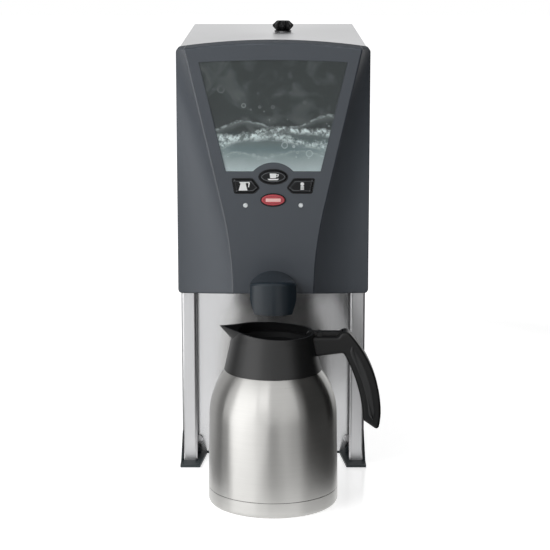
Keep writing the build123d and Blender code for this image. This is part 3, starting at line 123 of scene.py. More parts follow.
class DispenserSizes(bpy.types.PropertyGroup):
    """Sizes of the pieces and reliefs that are added to the frame."""

    sign_lift: length_property("Sign lift", "How far a printed sign stands on its button", 0.00012)
    cup_sign: length_property("Cup sign", "Width of the cup sign", 0.012)
    jug_sign: length_property("Jug sign", "Width of the jug sign", 0.0128)
    column_sign: length_property("Column sign", "Height of the column sign", 0.0085)
    stop_bar: length_property("Stop bar", "Width of the bar on the red button", 0.0155)
    sign_shift: length_property("Sign shift", "How far the outer signs lie off the middle", 0.0017)
    flange_lip: length_property("Flange lip", "How far a flange reaches past its hole", 0.0014)
    corner_round: length_property("Corner round", "Corner radius of an outer button", 0.00224)
    rim_width: length_property("Rim width", "Width of the rim round a button", 0.001)
    rim_stand: length_property("Rim stand", "How far the rim stands on the panel", 0.0005)
    # Width and inset of the band that paints each button's edge highlight
    painted_edge_width: length_property("Contour width", "Width of the printed contour", 0.0004)
    painted_edge_inset: length_property("Contour inset", "How far it lies inside the edge", 0.0022)
    button_stand: length_property("Button stand", "How far a button stands on the panel", 0.0012)
    panel_half: length_property("Panel half", "Half width of the front panel", 0.1015)
    v_foot_height: length_property("V foot height", "Height of the raised V's foot", 0.1998)
    v_foot_half: length_property("V foot half", "Half width of the raised V at its foot", 0.0436)
    v_bend_height: length_property("V bend height", "Height of the bend at the V's foot", 0.0899)
    v_bend_radius: length_property("V bend radius", "Radius of the bend at the V's foot", 0.4)
    v_edge: length_property("V edge", "Width of the soft edge along the V", 0.0013)
    v_lean: FloatProperty(
        name="V lean", description="How fast the V widens upwards", default=0.2307
    )
    edge_slope: FloatProperty(
        name="Edge slope", description="How steeply the V's soft edge falls", default=0.65
    )
    edge_polish: FloatProperty(
        name="Edge polish", description="How much smoother the V's edge is worn", default=0.25
    )
    hollow_slope: FloatProperty(
        name="Hollow slope", description="How much the facets hollow", default=0.32
    )
    facet_lean: FloatProperty(
        name="Facet lean", description="How much more the facets lean back", default=0.03
    )
    seam_height: length_property("Seam height", "Height of the seam round the jug's foot", 0.0165)
    seam_depth: length_property("Seam depth", "How deep the seam's line lies", 0.0002)
    seam_width: length_property("Seam width", "Width of the seam's line", 0.0006)
    inlay_round: length_property("Inlay round", "Corner radius of the grip's inlay", 0.0014)
    inlay_lift: length_property("Inlay lift", "How far the grip's inlay stands", 0.0003)
    inlay_slope: length_property("Inlay slope", "Width of the inlay's sloped edge", 0.0012)
    inlay_crown: length_property("Inlay crown", "How far the slope rises", 0.0006)


class DispenserStudio(bpy.types.PropertyGroup):
    """Camera, lamps and floor."""

    lens: FloatProperty(
        name="Lens", description="Focal length", subtype="DISTANCE_CAMERA", default=121.09
    )
    tilt: FloatProperty(
        name="Tilt", description="Camera's tilt below level", subtype="ANGLE",
        default=math.radians(11.37),
    )
    camera_place: FloatVectorProperty(
        name="Camera place", description="Where the camera stands", subtype="TRANSLATION",
        size=3, default=(0.0019, -2.159, 0.605),
    )
    key_power: FloatProperty(
        name="Key power", description="Large lamp at the left", unit="POWER", default=38
    )
    fill_power: FloatProperty(
        name="Fill power", description="Lamp in front", unit="POWER", default=4
    )
    top_power: FloatProperty(name="Top power", description="Lamp overhead", unit="POWER", default=3)
    ambient: FloatProperty(name="Ambient", description="Even light from all round", default=0.2)
    floor_glow: FloatProperty(
        name="Floor glow", description="White that the floor adds near the object", default=0.66
    )
    gloss_reach: length_property("Gloss reach", "How far the floor stays glossy", 0.45)


def settings():
    """The scene's own property groups."""
    scene = bpy.context.scene
    return scene.dispenser_colours, scene.dispenser_sizes, scene.dispenser_studio


def shader_group(name, inputs, outputs):
    """An empty shader node group with named sockets, and its two end nodes."""
    group = bpy.data.node_groups.new(name, "ShaderNodeTree")
    for label, kind, value in inputs:
        socket = group.interface.new_socket(label, in_out="INPUT", socket_type=kind)
        if value is not None:
            socket.default_value = value
    for label in outputs:
        group.interface.new_socket(label, in_out="OUTPUT", socket_type="NodeSocketFloat")
    return group, group.nodes.new("NodeGroupInput"), group.nodes.new("NodeGroupOutput")


def add_node(tree, kind, links=(), **values):
    """A node with its settings, and links or values for its inputs by name or number."""
    node = tree.nodes.new(kind)
    for key, value in values.items():
        setattr(node, key, value)
    for socket, source in dict(links).items():
        if isinstance(source, bpy.types.NodeSocket):
            tree.links.new(source, node.inputs[socket])
        else:
            node.inputs[socket].default_value = source
    return node


def maths(tree, operation, first, second=0.0, third=0.0, clamp=False):
    """A Math node's output."""
    node = add_node(tree, "ShaderNodeMath", {0: first, 1: second, 2: third}, operation=operation)
    node.use_clamp = clamp
    return node.outputs[0]


def multiply_vector(tree, vector, factors):
    """A vector stretched along its axes."""
    node = add_node(tree, "ShaderNodeVectorMath", {0: vector, 1: factors}, operation="MULTIPLY")
    return node.outputs[0]


def noise(tree, vector, scale, detail, **more):
    """A cloudy value from nought to one."""
    node = add_node(
        tree, "ShaderNodeTexNoise", {"Vector": vector, "Scale": scale, "Detail": detail, **more}
    )
    return node.outputs[0]


def spread(tree, factor, low, high, start=0.0, end=1.0):
    """A value that goes from low to high while the factor goes from start to end."""
    node = add_node(
        tree, "ShaderNodeMapRange",
        {"Value": factor, "From Min": start, "From Max": end, "To Min": low, "To Max": high},
    )
    return node.outputs[0]


def mix_colours(tree, factor, first, second):
    """A colour between two, by a factor."""
    node = add_node(
        tree, "ShaderNodeMix", {"Factor": factor, "A": first, "B": second}, data_type="RGBA"
    )
    return node.outputs["Result"]


def mix_shaders(tree, factor, first, second):
    """A node that mixes two nodes' shaders by a factor. A first that is None gives no light."""
    node = add_node(tree, "ShaderNodeMixShader", {0: factor, 2: second.outputs[0]})
    if first:
        tree.links.new(first.outputs[0], node.inputs[1])
    return node


def brushed_group():
    """Fine parallel lines and broad cloudy marks, as brushing and handling leave on steel."""
    group, start, end = shader_group(
        "Brushed Lines",
        [("Vector", "NodeSocketVector", None), ("Line Scale", "NodeSocketVector", (900, 900, 8))],
        ("Lines", "Marks"),
    )
    fine_share = 0.6
    stretched = multiply_vector(group, start.outputs["Vector"], start.outputs["Line Scale"])
    fine = noise(group, stretched, scale=1.0, detail=5.0, Roughness=0.65)
    fine = maths(group, "MULTIPLY", fine, fine_share)
    coarse = noise(group, stretched, scale=0.16, detail=3.0)
    coarse = maths(group, "MULTIPLY", coarse, 1 - fine_share)
    marks = noise(group, start.outputs["Vector"], scale=11.0, detail=3.0)
    group.links.new(maths(group, "ADD", fine, coarse), end.inputs["Lines"])
    group.links.new(marks, end.inputs["Marks"])
    return group


def moulded_group():
    """A fine moulded grain with faint handling marks."""
    group, start, end = shader_group(
        "Moulded Grain",
        [("Vector", "NodeSocketVector", None), ("Grain Scale", "NodeSocketFloat", 1400.0)],
        ("Grain", "Marks"),
    )
    vector, scale = start.outputs["Vector"], start.outputs["Grain Scale"]
    cells = add_node(group, "ShaderNodeTexVoronoi", {"Vector": vector, "Scale": scale})
    grain = maths(group, "ADD", cells.outputs[0], noise(group, vector, scale, detail=2.0))
    marks = noise(group, vector, scale=14.0, detail=4.0)
    group.links.new(grain, end.inputs["Grain"])
    group.links.new(marks, end.inputs["Marks"])
    return group


def place_effect(tree, maker, name, links):
    """A shared effect in a finish, built the first time that a finish asks for it."""
    group = bpy.data.node_groups.get(name) or maker()
    return add_node(tree, "ShaderNodeGroup", links, node_tree=group).outputs


def new_finish(name):
    """A finish with its tree, its shader and object coordinates."""
    finish = bpy.data.materials.new(name)
    finish.use_nodes = True
    tree = finish.node_tree
    coordinates = add_node(tree, "ShaderNodeTexCoord").outputs["Object"]
    return finish, tree, tree.nodes["Principled BSDF"], coordinates


def show(tree, shader):
    """Sends a node's shader to the surface."""
    tree.links.new(shader.outputs[0], tree.nodes["Material Output"].inputs["Surface"])


def bump(tree, height, strength, distance):
    """A surface relief that the light shows."""
    node = add_node(
        tree, "ShaderNodeBump", {"Height": height, "Strength": strength, "Distance": distance}
    )
    return node.outputs[0]


def tint(colour, factor):
    """A colour made lighter or darker, with its alpha."""
    return (*(min(1.0, channel * factor) for channel in colour[:3]), 1)


def vary(tree, shader, colour, contrast, factor):
    """Makes the base colour darker and lighter from place to place."""
    colours = mix_colours(tree, factor, tint(colour, 1 - contrast), tint(colour, 1 + contrast))
    tree.links.new(colours, shader.inputs["Base Color"])


def brushed_steel(name, colour, line_scale, roughness=0.3, anisotropy=0.5, turn=0.0):
    """Brushed steel whose lines run along the axis with the small scale."""
    contrast, line_gloss, mark_gloss = 0.1, 0.05, 0.03
    finish, tree, shader, coordinates = new_finish(name)
    lines = place_effect(
        tree, brushed_group, "Brushed Lines", {"Vector": coordinates, "Line Scale": line_scale}
    )
    vary(tree, shader, colour, contrast, lines["Lines"])
    rough = maths(
        tree, "ADD",
        spread(tree, lines["Lines"], roughness - line_gloss, roughness + line_gloss),
        spread(tree, lines["Marks"], -mark_gloss, mark_gloss),
    )
    tree.links.new(rough, shader.inputs["Roughness"])
    shader.inputs["Metallic"].default_value = 1.0
    shader.inputs["Anisotropic"].default_value = anisotropy
    shader.inputs["Anisotropic Rotation"].default_value = turn
    relief = bump(tree, lines["Lines"], strength=0.12, distance=0.00005)
    tree.links.new(relief, shader.inputs["Normal"])
    return finish


def grained(name, colour, contrast, roughness, grain_scale, strength, distance):
    """A finish with a fine grain, whose marks vary its colour and its roughness."""
    finish, tree, shader, coordinates = new_finish(name)
    surface = place_effect(
        tree, moulded_group, "Moulded Grain", {"Vector": coordinates, "Grain Scale": grain_scale}
    )
    vary(tree, shader, colour, contrast, surface["Marks"])
    tree.links.new(spread(tree, surface["Marks"], *roughness), shader.inputs["Roughness"])
    tree.links.new(bump(tree, surface["Grain"], strength, distance), shader.inputs["Normal"])
    return finish, shader


def moulded_plastic(name, colour, roughness, grain_scale=1400.0, grain=0.12, gloss=0.5):
    """Moulded plastic with a fine grain."""
    finish, shader = grained(
        name, colour, contrast=0.07, roughness=(roughness - 0.05, roughness + 0.06),
        grain_scale=grain_scale, strength=grain, distance=0.00015,
    )
    shader.inputs["Specular IOR Level"].default_value = gloss
    return finish


def cast_metal(name, colour, roughness, contrast=0.12):
    """Cast, sawn or drawn metal, uneven in colour and gloss."""
    finish, shader = grained(
        name, colour, contrast=contrast, roughness=(roughness - 0.08, roughness + 0.08),
        grain_scale=300.0, strength=0.15, distance=0.0002,
    )
    shader.inputs["Metallic"].default_value = 1.0
    return finish


def clear_plastic(name, colour):
    """Clear glazing with faint smears, which lets the lamps through to what lies behind it."""
    plain_view = 0.82
    finish, tree, shader, coordinates = new_finish(name)
    surface = place_effect(
        tree, moulded_group, "Moulded Grain", {"Vector": coordinates, "Grain Scale": 500.0}
    )
    tree.links.new(spread(tree, surface["Marks"], 0.03, 0.07), shader.inputs["Roughness"])
    shader.inputs["Base Color"].default_value = (*colour, 1)
    shader.inputs["Transmission Weight"].default_value = 1.0
    shader.inputs["IOR"].default_value = 1.2
    through = add_node(tree, "ShaderNodeBsdfTransparent", {"Color": (*colour, 1)})
    rays = add_node(tree, "ShaderNodeLightPath").outputs
    clear = maths(tree, "MAXIMUM", rays["Is Shadow Ray"], plain_view)
    show(tree, mix_shaders(tree, clear, shader, through))
    return finish


def seen(tree, rays):
    """One for the rays that show a surface, and nought for those that only carry its light."""
    direct = maths(tree, "MAXIMUM", rays["Is Camera Ray"], rays["Is Glossy Ray"])
    return maths(tree, "MAXIMUM", direct, rays["Is Transmission Ray"])


def dress(finish, *names):
    """Gives a finish to nodes of the frame."""
    for name in names:
        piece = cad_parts[name]
        if not piece.material_slots:
            piece.data.materials.append(finish)
        for slot in piece.material_slots:
            slot.material = finish


def add_object(name, mesh, finish):
    """Turns a bmesh into an object of the scene."""
    data = bpy.data.meshes.new(name)
    mesh.to_mesh(data)
    mesh.free()
    data.materials.append(finish)
    piece = bpy.data.objects.new(name, data)
    bpy.context.scene.collection.objects.link(piece)
    return piece


def make_piece(name, mesh, finish, body):
    """Turns a bmesh into a piece that rides on a body."""
    piece = add_object(name, mesh, finish)
    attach(piece, body)


def move_verts(mesh, geometry, reach):
    """Moves the vertices among what an operator has made."""
    verts = [item for item in geometry if isinstance(item, bmesh.types.BMVert)]
    bmesh.ops.translate(mesh, verts=verts, vec=reach)


def raise_faces(mesh, faces, reach):
    """Extrudes faces by a vector, and gives what that makes."""
    grown = bmesh.ops.extrude_face_region(mesh, geom=faces)["geom"]
    move_verts(mesh, grown, reach)
    return grown


def round_corners(mesh, verts, radius, segments):
    """Rounds corners of a flat outline."""
    bmesh.ops.bevel(
        mesh, geom=verts, affect="VERTICES", offset=radius, segments=segments,
        profile=0.5, material=-1,
    )


def stand_up(mesh, place):
    """Turns a mesh that was drawn lying so that it faces the front, and puts it in its place."""
    bmesh.ops.rotate(mesh, verts=mesh.verts, cent=(0, 0, 0), matrix=UPRIGHT)
    bmesh.ops.translate(mesh, verts=mesh.verts, vec=place)
    bmesh.ops.recalc_face_normals(mesh, faces=mesh.faces)


class DispenserStage(bpy.types.Operator):
    """Lays the pale floor, hangs the boards and lamps and stands the camera"""

    bl_idname = "dispenser.stage"
    bl_label = "Stage"

    def execute(self, context):
        _, _, studio = settings()
        context.scene.view_settings.view_transform = "Standard"
        self.stand_camera(context.scene, studio)
        self.lay_floor(studio)
        self.hang_cards()
        self.light_world(context.scene, studio.ambient)
        # Name, place, aim, size, power, and whether gloss shows the lamp
        for lamp in (
            ("key", (-1.62, -1.62, 1.35), (0, -0.25, 0.25), (1.75, 1.6), studio.key_power, False),
            ("fill", (-0.8, -2.6, 1.5), (0, -0.2, 0.2), (0.9, 0.9), studio.fill_power, True),
            ("overhead", (-0.3, -0.5, 2.1), (0, -0.1, 0.2), (0.5, 0.5), studio.top_power, True),
        ):
            self.hang_lamp(context.scene, *lamp)
        return {"FINISHED"}

    def stand_camera(self, scene, studio):
        """Stands the camera in front of the object, tilted below level."""
        data = bpy.data.cameras.new("Camera")
        data.lens = studio.lens
        data.sensor_width = 36
        data.clip_start = 0.01
        data.clip_end = 100
        camera = bpy.data.objects.new("Camera", data)
        camera.location = studio.camera_place
        camera.rotation_euler = (math.radians(90) - studio.tilt, 0, 0)
        scene.collection.objects.link(camera)
        scene.camera = camera

    def lay_floor(self, studio):
        """Lays a wide floor a hair below the object's foot."""
        half_width = 8
        drop = 0.0002
        mesh = bmesh.new()
        bmesh.ops.create_grid(mesh, x_segments=1, y_segments=1, size=half_width)
        bmesh.ops.translate(mesh, verts=mesh.verts, vec=(0, 0, -drop))
        floor = add_object("floor", mesh, self.floor_finish(studio))

    def floor_finish(self, studio):
        """White where it is seen, and glossy and with a faint shadow near the object."""
        pale, roughness = (0.8, 0.8, 0.8, 1), 0.16
        near, fade = studio.gloss_reach, 0.15
        finish, tree, shader, coordinates = new_finish("floor_white")
        shader.inputs["Base Color"].default_value = pale
        shader.inputs["Roughness"].default_value = roughness
        matt = add_node(tree, "ShaderNodeBsdfDiffuse", {"Color": pale})
        rays = add_node(tree, "ShaderNodeLightPath").outputs
        length = add_node(tree, "ShaderNodeVectorMath", {0: coordinates}, operation="LENGTH")
        away = length.outputs["Value"]
        lift = spread(tree, away, 0.0, 1 - studio.floor_glow, start=near, end=2 * near)
        level = maths(tree, "MULTIPLY_ADD", rays["Is Camera Ray"], lift, studio.floor_glow)
        glow = add_node(tree, "ShaderNodeEmission", {"Color": WHITE, "Strength": level})
        light = mix_shaders(tree, seen(tree, rays), None, glow)
        far = spread(tree, away, 0.0, 1.0, start=near, end=near + fade)
        ground = mix_shaders(tree, far, shader, matt)
        ends = {0: ground.outputs[0], 1: light.outputs[0]}
        show(tree, add_node(tree, "ShaderNodeAddShader", ends))
        return finish

    def hang_cards(self):
        """Hangs and lays grey and bright boards round the set, that only gloss shows."""
        # Name, middle, size, brightness at the front and at the rear, and turn in degrees
        for name, place, size, front, rear, turn in (
            ("card_right", (0.62, -0.4, 0.75), (0.01, 1.0, 1.5), 0.42, 0.05, 0),
            ("card_rear", (0.62, 0.45, 0.75), (0.01, 0.7, 1.5), 0.12, 0.6, 0),
            ("card_left", (-0.42, 0.15, 0.75), (0.01, 0.88, 1.5), 0.25, 0.55, 0),
            ("card_above", (0, -0.1, 1.75), (1.5, 1.1, 0.01), 0.1, 0.1, 0),
            ("mat_right", (0.36, -0.4, 0.002), (0.5, 1.0, 0), 0.42, 0.08, 0),
            ("mat_rear", (0.36, 0.45, 0.002), (0.5, 0.7, 0), 0.12, 0.6, 0),
            ("mat_left", (-0.42, 0.095, 0.002), (0.6, 1.0, 0), 0.22, 0.55, 0),
            ("mat_front", (0, -0.85, 0.002), (0.1, 0.8, 0), 0.22, 0.22, 0),
            ("mat_far", (1.12, -0.9, 0.002), (1.0, 1.6, 0), 0.05, 0.05, 0),
            ("mat_grip", (0.1, -0.85, 0.002), (0.09, 0.8, 0), 0.45, 0.45, 0),
            ("mat_bright", (-0.57, -0.71, 0.002), (0.66, 0.6, 0), 2.5, 2.5, 0),
            ("mat_outer", (-1.6, -0.98, 0.002), (1.4, 1.06, 0), 3.0, 3.0, 0),
            ("box_left", (-1.7, -1.5, 1.02), (1.8, 0.01, 1.6), 2.2, 2.2, -50),
        ):
            mesh = bmesh.new()
            if size[2]:
                bmesh.ops.create_cube(mesh, size=1)
            else:
                bmesh.ops.create_grid(mesh, x_segments=1, y_segments=1, size=0.5)
            bmesh.ops.scale(mesh, verts=mesh.verts, vec=size)
            bmesh.ops.rotate(
                mesh, verts=mesh.verts, cent=(0, 0, 0),
                matrix=Matrix.Rotation(math.radians(turn), 3, "Z"),
            )
            bmesh.ops.translate(mesh, verts=mesh.verts, vec=place)
            card = add_object(name, mesh, self.card_finish(name, place[1], size[1], front, rear))
            card.visible_camera = False
            card.visible_diffuse = False
            card.visible_shadow = False

    def card_finish(self, name, middle, depth, front, rear):
        """A board that shines on its outer side, and changes from its front to its rear."""
        # Where the change starts and ends, in front of the middle, as shares of the depth
        start, end = 0.4, 0.23
        finish, tree, shader, coordinates = new_finish(name)
        tree.nodes.remove(shader)
        along = add_node(tree, "ShaderNodeSeparateXYZ", {0: coordinates}).outputs[1]
        level = spread(tree, along, front, rear, middle - start * depth, middle - end * depth)
        board = add_node(tree, "ShaderNodeEmission", {"Color": WHITE, "Strength": level})
        back = add_node(tree, "ShaderNodeBsdfTransparent")
        side = add_node(tree, "ShaderNodeNewGeometry").outputs["Backfacing"]
        show(tree, mix_shaders(tree, side, board, back))
        return finish

    def light_world(self, scene, ambient):
        """Even grey light, and white where the background is seen."""
        scene.world = bpy.data.worlds.new("studio")
        scene.world.use_nodes = True
        tree = scene.world.node_tree
        tree.nodes.clear()
        grey = add_node(tree, "ShaderNodeBackground", {"Color": WHITE, "Strength": ambient})
        white = add_node(tree, "ShaderNodeBackground", {"Color": WHITE, "Strength": 1.0})
        rays = add_node(tree, "ShaderNodeLightPath").outputs
        mixed = mix_shaders(tree, seen(tree, rays), grey, white)
        add_node(tree, "ShaderNodeOutputWorld", {"Surface": mixed.outputs[0]})

    def hang_lamp(self, scene, name, place, aim, size, power, mirrored):
        """One soft lamp that looks at a point."""
        data = bpy.data.lights.new(name, "AREA")
        data.shape = "RECTANGLE"
        data.size, data.size_y = size
        data.energy = power
        lamp = bpy.data.objects.new(name, data)
        lamp.location = place
        lamp.rotation_euler = (Vector(aim) - Vector(place)).to_track_quat("-Z", "Y").to_euler()
        lamp.visible_glossy = mirrored
        scene.collection.objects.link(lamp)


class DispenserSheetMetal(bpy.types.Operator):
    """Gives the housing its brushed stainless sheet and its fixings"""

    bl_idname = "dispenser.sheet_metal"
    bl_label = "Sheet metal"

    def execute(self, context):
        colours, _, _ = settings()
        along_z, along_y = (900, 900, 9), (900, 9, 900)
        upright = brushed_steel("sheet_brushed_upright", colours.sheet, along_z, turn=QUARTER_TURN)
        splash = brushed_steel(
            "splash_brushed", colours.sheet, along_z, roughness=0.18, anisotropy=0.75,
            turn=QUARTER_TURN,
        )
        level = brushed_steel("sheet_brushed_level", colours.sheet, along_y, roughness=0.34)
        dress(upright, "right_side_panel", "left_side_panel", "rear_panel")
        dress(splash, "splash_panel")
        dress(level, "top_cover", "equipment_shelf")
        screw = cast_metal("screw_steel", colours.screw, 0.28, contrast=0.08)
        dress(screw, "panel_screws", "splash_screws", "lid_bolts")
        return {"FINISHED"}


class DispenserMouldings(bpy.types.Operator):
    """Gives the front panel, spout, tray and cap their moulded finishes"""

    bl_idname = "dispenser.mouldings"
    bl_label = "Mouldings"

    def execute(self, context):
        colours, sizes, _ = settings()
        dress(self.panel_finish(colours, sizes), "front_panel")
        spout = moulded_plastic("spout_moulding", colours.spout, 0.2, grain=0.03, gloss=0.27)
        dress(spout, "spout_cover")
        dress(moulded_plastic("tray_moulding", colours.tray, 0.5), "base_tray", "foot_clips")
        black = moulded_plastic("cap_moulding", colours.black, 0.35, grain=0.08, gloss=0.3)
        dress(black, "star_cap", "filler_plug", "outlet_nozzle", "mains_inlet")
        return {"FINISHED"}

    def panel_finish(self, colours, sizes):
        """Panel plastic whose facets hollow a little, with a soft edge along the raised V."""
        finish = moulded_plastic("panel_moulding", colours.panel, 0.36, gloss=0.35)
        tree = finish.node_tree
        shader = tree.nodes["Principled BSDF"]
        grain = tree.nodes["Bump"]
        calc = partial(maths, tree)
        places = add_node(tree, "ShaderNodeTexCoord").outputs
        beyond, width = self.facet(tree, places["Object"], sizes)
        share = calc("DIVIDE", beyond, width, clamp=True)
        hollow = calc("MULTIPLY", share, calc("SUBTRACT", share, 1.0))
        hollow = calc("MULTIPLY", calc("MULTIPLY", hollow, width), sizes.hollow_slope)
        lean = calc("MULTIPLY", calc("MULTIPLY", share, width), -sizes.facet_lean)
        # Nought on the V and one on the facet, with the soft edge between them
        turn = calc("ADD", calc("DIVIDE", beyond, sizes.v_edge), 1.0, clamp=True)
        edge = calc("MULTIPLY", calc("GREATER_THAN", turn, 0.0), calc("LESS_THAN", turn, 1.0))
        turn = calc("MULTIPLY", turn, -sizes.edge_slope * sizes.v_edge)
        upward = add_node(tree, "ShaderNodeSeparateXYZ", {0: places["Normal"]}).outputs[2]
        # Faces that look up are more matt, so the top edge doesn't mirror the pale set
        top_matt = spread(tree, upward, 0.0, 0.55, start=0.3, end=0.9)
        rough = calc("ADD", shader.inputs["Roughness"].links[0].from_socket, top_matt)
        rough = calc("MULTIPLY_ADD", edge, -sizes.edge_polish, rough)
        tree.links.new(rough, shader.inputs["Roughness"])
        relief = calc("ADD", calc("ADD", hollow, lean), turn)
        relief = bump(tree, relief, strength=1.0, distance=1.0)
        tree.links.new(relief, grain.inputs["Normal"])
        return finish

    def facet(self, tree, coordinates, sizes):
        """How far a place lies beyond the V's edge, and how wide the facet is at its height."""
        calc = partial(maths, tree)
        parts = add_node(tree, "ShaderNodeSeparateXYZ", {0: coordinates}).outputs
        rise = calc("SUBTRACT", parts[2], sizes.v_foot_height)
        bend = calc("MINIMUM", rise, sizes.v_bend_height)
        edge = calc("DIVIDE", calc("MULTIPLY", bend, bend), 2 * sizes.v_bend_radius)
        edge = calc("ADD", edge, sizes.v_foot_half)
        edge = calc("MULTIPLY_ADD", calc("SUBTRACT", rise, bend), sizes.v_lean, edge)
        beyond = calc("SUBTRACT", calc("ABSOLUTE", parts[0]), edge)
        return beyond, calc("SUBTRACT", sizes.panel_half, edge)


class DispenserPicture(bpy.types.Operator):
    """Prints the picture film and glazes it"""

    bl_idname = "dispenser.picture"
    bl_label = "Picture"

    def execute(self, context):
        colours, _, _ = settings()
        dress(self.film(colours), "picture_insert")
        dress(clear_plastic("window_clear", colours.glazing), "display_window")
        return {"FINISHED"}

    def film(self, colours):
        """A calm print: mist from dark to pale, ribbons of water and loose bubbles."""
        low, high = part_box("picture_insert")
        finish, tree, shader, coordinates = new_finish("picture_film")
        calc = partial(maths, tree)
        parts = add_node(tree, "ShaderNodeSeparateXYZ", {0: coordinates}).outputs
        height = spread(tree, parts[2], 0.0, 1.0, start=low.z, end=high.z)
        mist = noise(tree, coordinates, scale=16.0, detail=3.0)
        froth = noise(tree, coordinates, scale=190.0, detail=6.0, Roughness=0.75)
        wisp = noise(tree, coordinates, scale=34.0, detail=4.0, Distortion=1.4)
        glow = spread(tree, wisp, 0.0, 0.09, start=0.5, end=0.8)
        # Middle, swing, pitch, phase, width, lean and foam of each ribbon
        for ribbon in (
            (0.34, 0.030, 58.0, 0.6, 0.040, 0.4, 1.0),
            (0.27, 0.040, 45.0, 2.3, 0.050, 0.3, 0.85),
            (0.42, 0.030, 71.0, 4.0, 0.016, 0.7, 0.4),
            (0.15, 0.026, 85.0, 5.2, 0.014, 0.2, 0.35),
        ):
            glow = calc("MAXIMUM", glow, self.ribbon(tree, parts[0], height, mist, froth, ribbon))
        window = spread(tree, height, 0.0, 1.0, start=0.86, end=0.38)
        # Scale, size and brightness of the large bubbles and of the small ones
        for scale, size, share in ((75.0, 0.32, 0.62), (150.0, 0.3, 0.45)):
            bubble = calc("MULTIPLY", self.bubbles(tree, coordinates, scale, size), window)
            glow = calc("MAXIMUM", glow, calc("MULTIPLY", bubble, share))
        ground = self.ground(tree, colours, height, mist)
        print_colour = mix_colours(tree, glow, ground, (*colours.picture_light, 1))
        tree.links.new(print_colour, shader.inputs["Base Color"])
        tree.links.new(spread(tree, mist, 0.25, 0.4), shader.inputs["Roughness"])
        return finish

    def ground(self, tree, colours, height, mist):
        """The picture's ground, pale at its foot and dark above, with a cloudy change."""
        cloudiness = 0.16
        cloud = maths(tree, "MULTIPLY", maths(tree, "SUBTRACT", mist, 0.5), cloudiness)
        ramp = add_node(tree, "ShaderNodeValToRGB", {0: maths(tree, "ADD", height, cloud)})
        steps = ramp.color_ramp.elements
        steps[0].color = tint(colours.picture_bottom, 1.0)
        steps[1].position = 0.95
        steps[1].color = tint(colours.picture_top, 0.95)
        for position, colour, factor in (
            (0.07, colours.picture_bottom, 0.74),
            (0.2, colours.picture_middle, 1.9),
            (0.28, colours.picture_middle, 0.85),
            (0.38, colours.picture_top, 1.15),
        ):
            steps.new(position).color = tint(colour, factor)
        return ramp.outputs[0]

    def ribbon(self, tree, across, height, mist, froth, shape):
        """A wave across the picture: a frothy crest over a body that fades downwards."""
        middle, swing, pitch, phase, width, lean, foam = shape
        wobble, chop = 0.2, 1.6 * width
        body_depth, body_light = 4 * width, 0.16
        line_width, line_light = 0.8 * width, 1.3
        calc = partial(maths, tree)
        wave = calc("SINE", calc("MULTIPLY_ADD", across, pitch, phase))
        sway = calc("MULTIPLY", calc("SUBTRACT", mist, 0.5), wobble)
        crest = calc("ADD", calc("MULTIPLY_ADD", wave, swing, middle), sway)
        crest = calc("ADD", crest, calc("MULTIPLY", across, lean))
        crest = calc("ADD", crest, calc("MULTIPLY", calc("SUBTRACT", froth, 0.5), chop))
        gap = calc("SUBTRACT", crest, height)
        under = calc("GREATER_THAN", gap, 0.0)
        soft = calc("SUBTRACT", 1.0, calc("DIVIDE", gap, body_depth), clamp=True)
        body = calc("MULTIPLY", calc("MULTIPLY", under, calc("POWER", soft, 2.0)), body_light)
        line = calc("DIVIDE", calc("ABSOLUTE", gap), line_width)
        line = calc("SUBTRACT", line_light, line, clamp=True)
        speck = spread(tree, froth, 0.15, 1.0, start=0.44, end=0.58)
        foam_line = calc("MULTIPLY", calc("MULTIPLY", line, speck), foam)
        return calc("MAXIMUM", body, foam_line)

    def bubbles(self, tree, coordinates, scale, size):
        """Round bubbles of mixed sizes with a bright rim."""
        least_chance, rim_width, film_light = 0.62, 0.09, 0.18
        calc = partial(maths, tree)
        flat = multiply_vector(tree, coordinates, (1.0, 0.0, 1.0))
        cells = add_node(tree, "ShaderNodeTexVoronoi", {"Vector": flat, "Scale": scale}).outputs
        chance = add_node(tree, "ShaderNodeSeparateColor", {0: cells["Color"]}).outputs
        kept = calc("GREATER_THAN", chance[1], least_chance)
        depth = calc("SUBTRACT", calc("MULTIPLY", chance[0], size), cells["Distance"])
        inside = calc("GREATER_THAN", depth, 0.0)
        rim = calc("SUBTRACT", 1.0, calc("DIVIDE", depth, rim_width), clamp=True)
        light = calc("MAXIMUM", rim, film_light)
        return calc("MULTIPLY", calc("MULTIPLY", inside, light), kept)


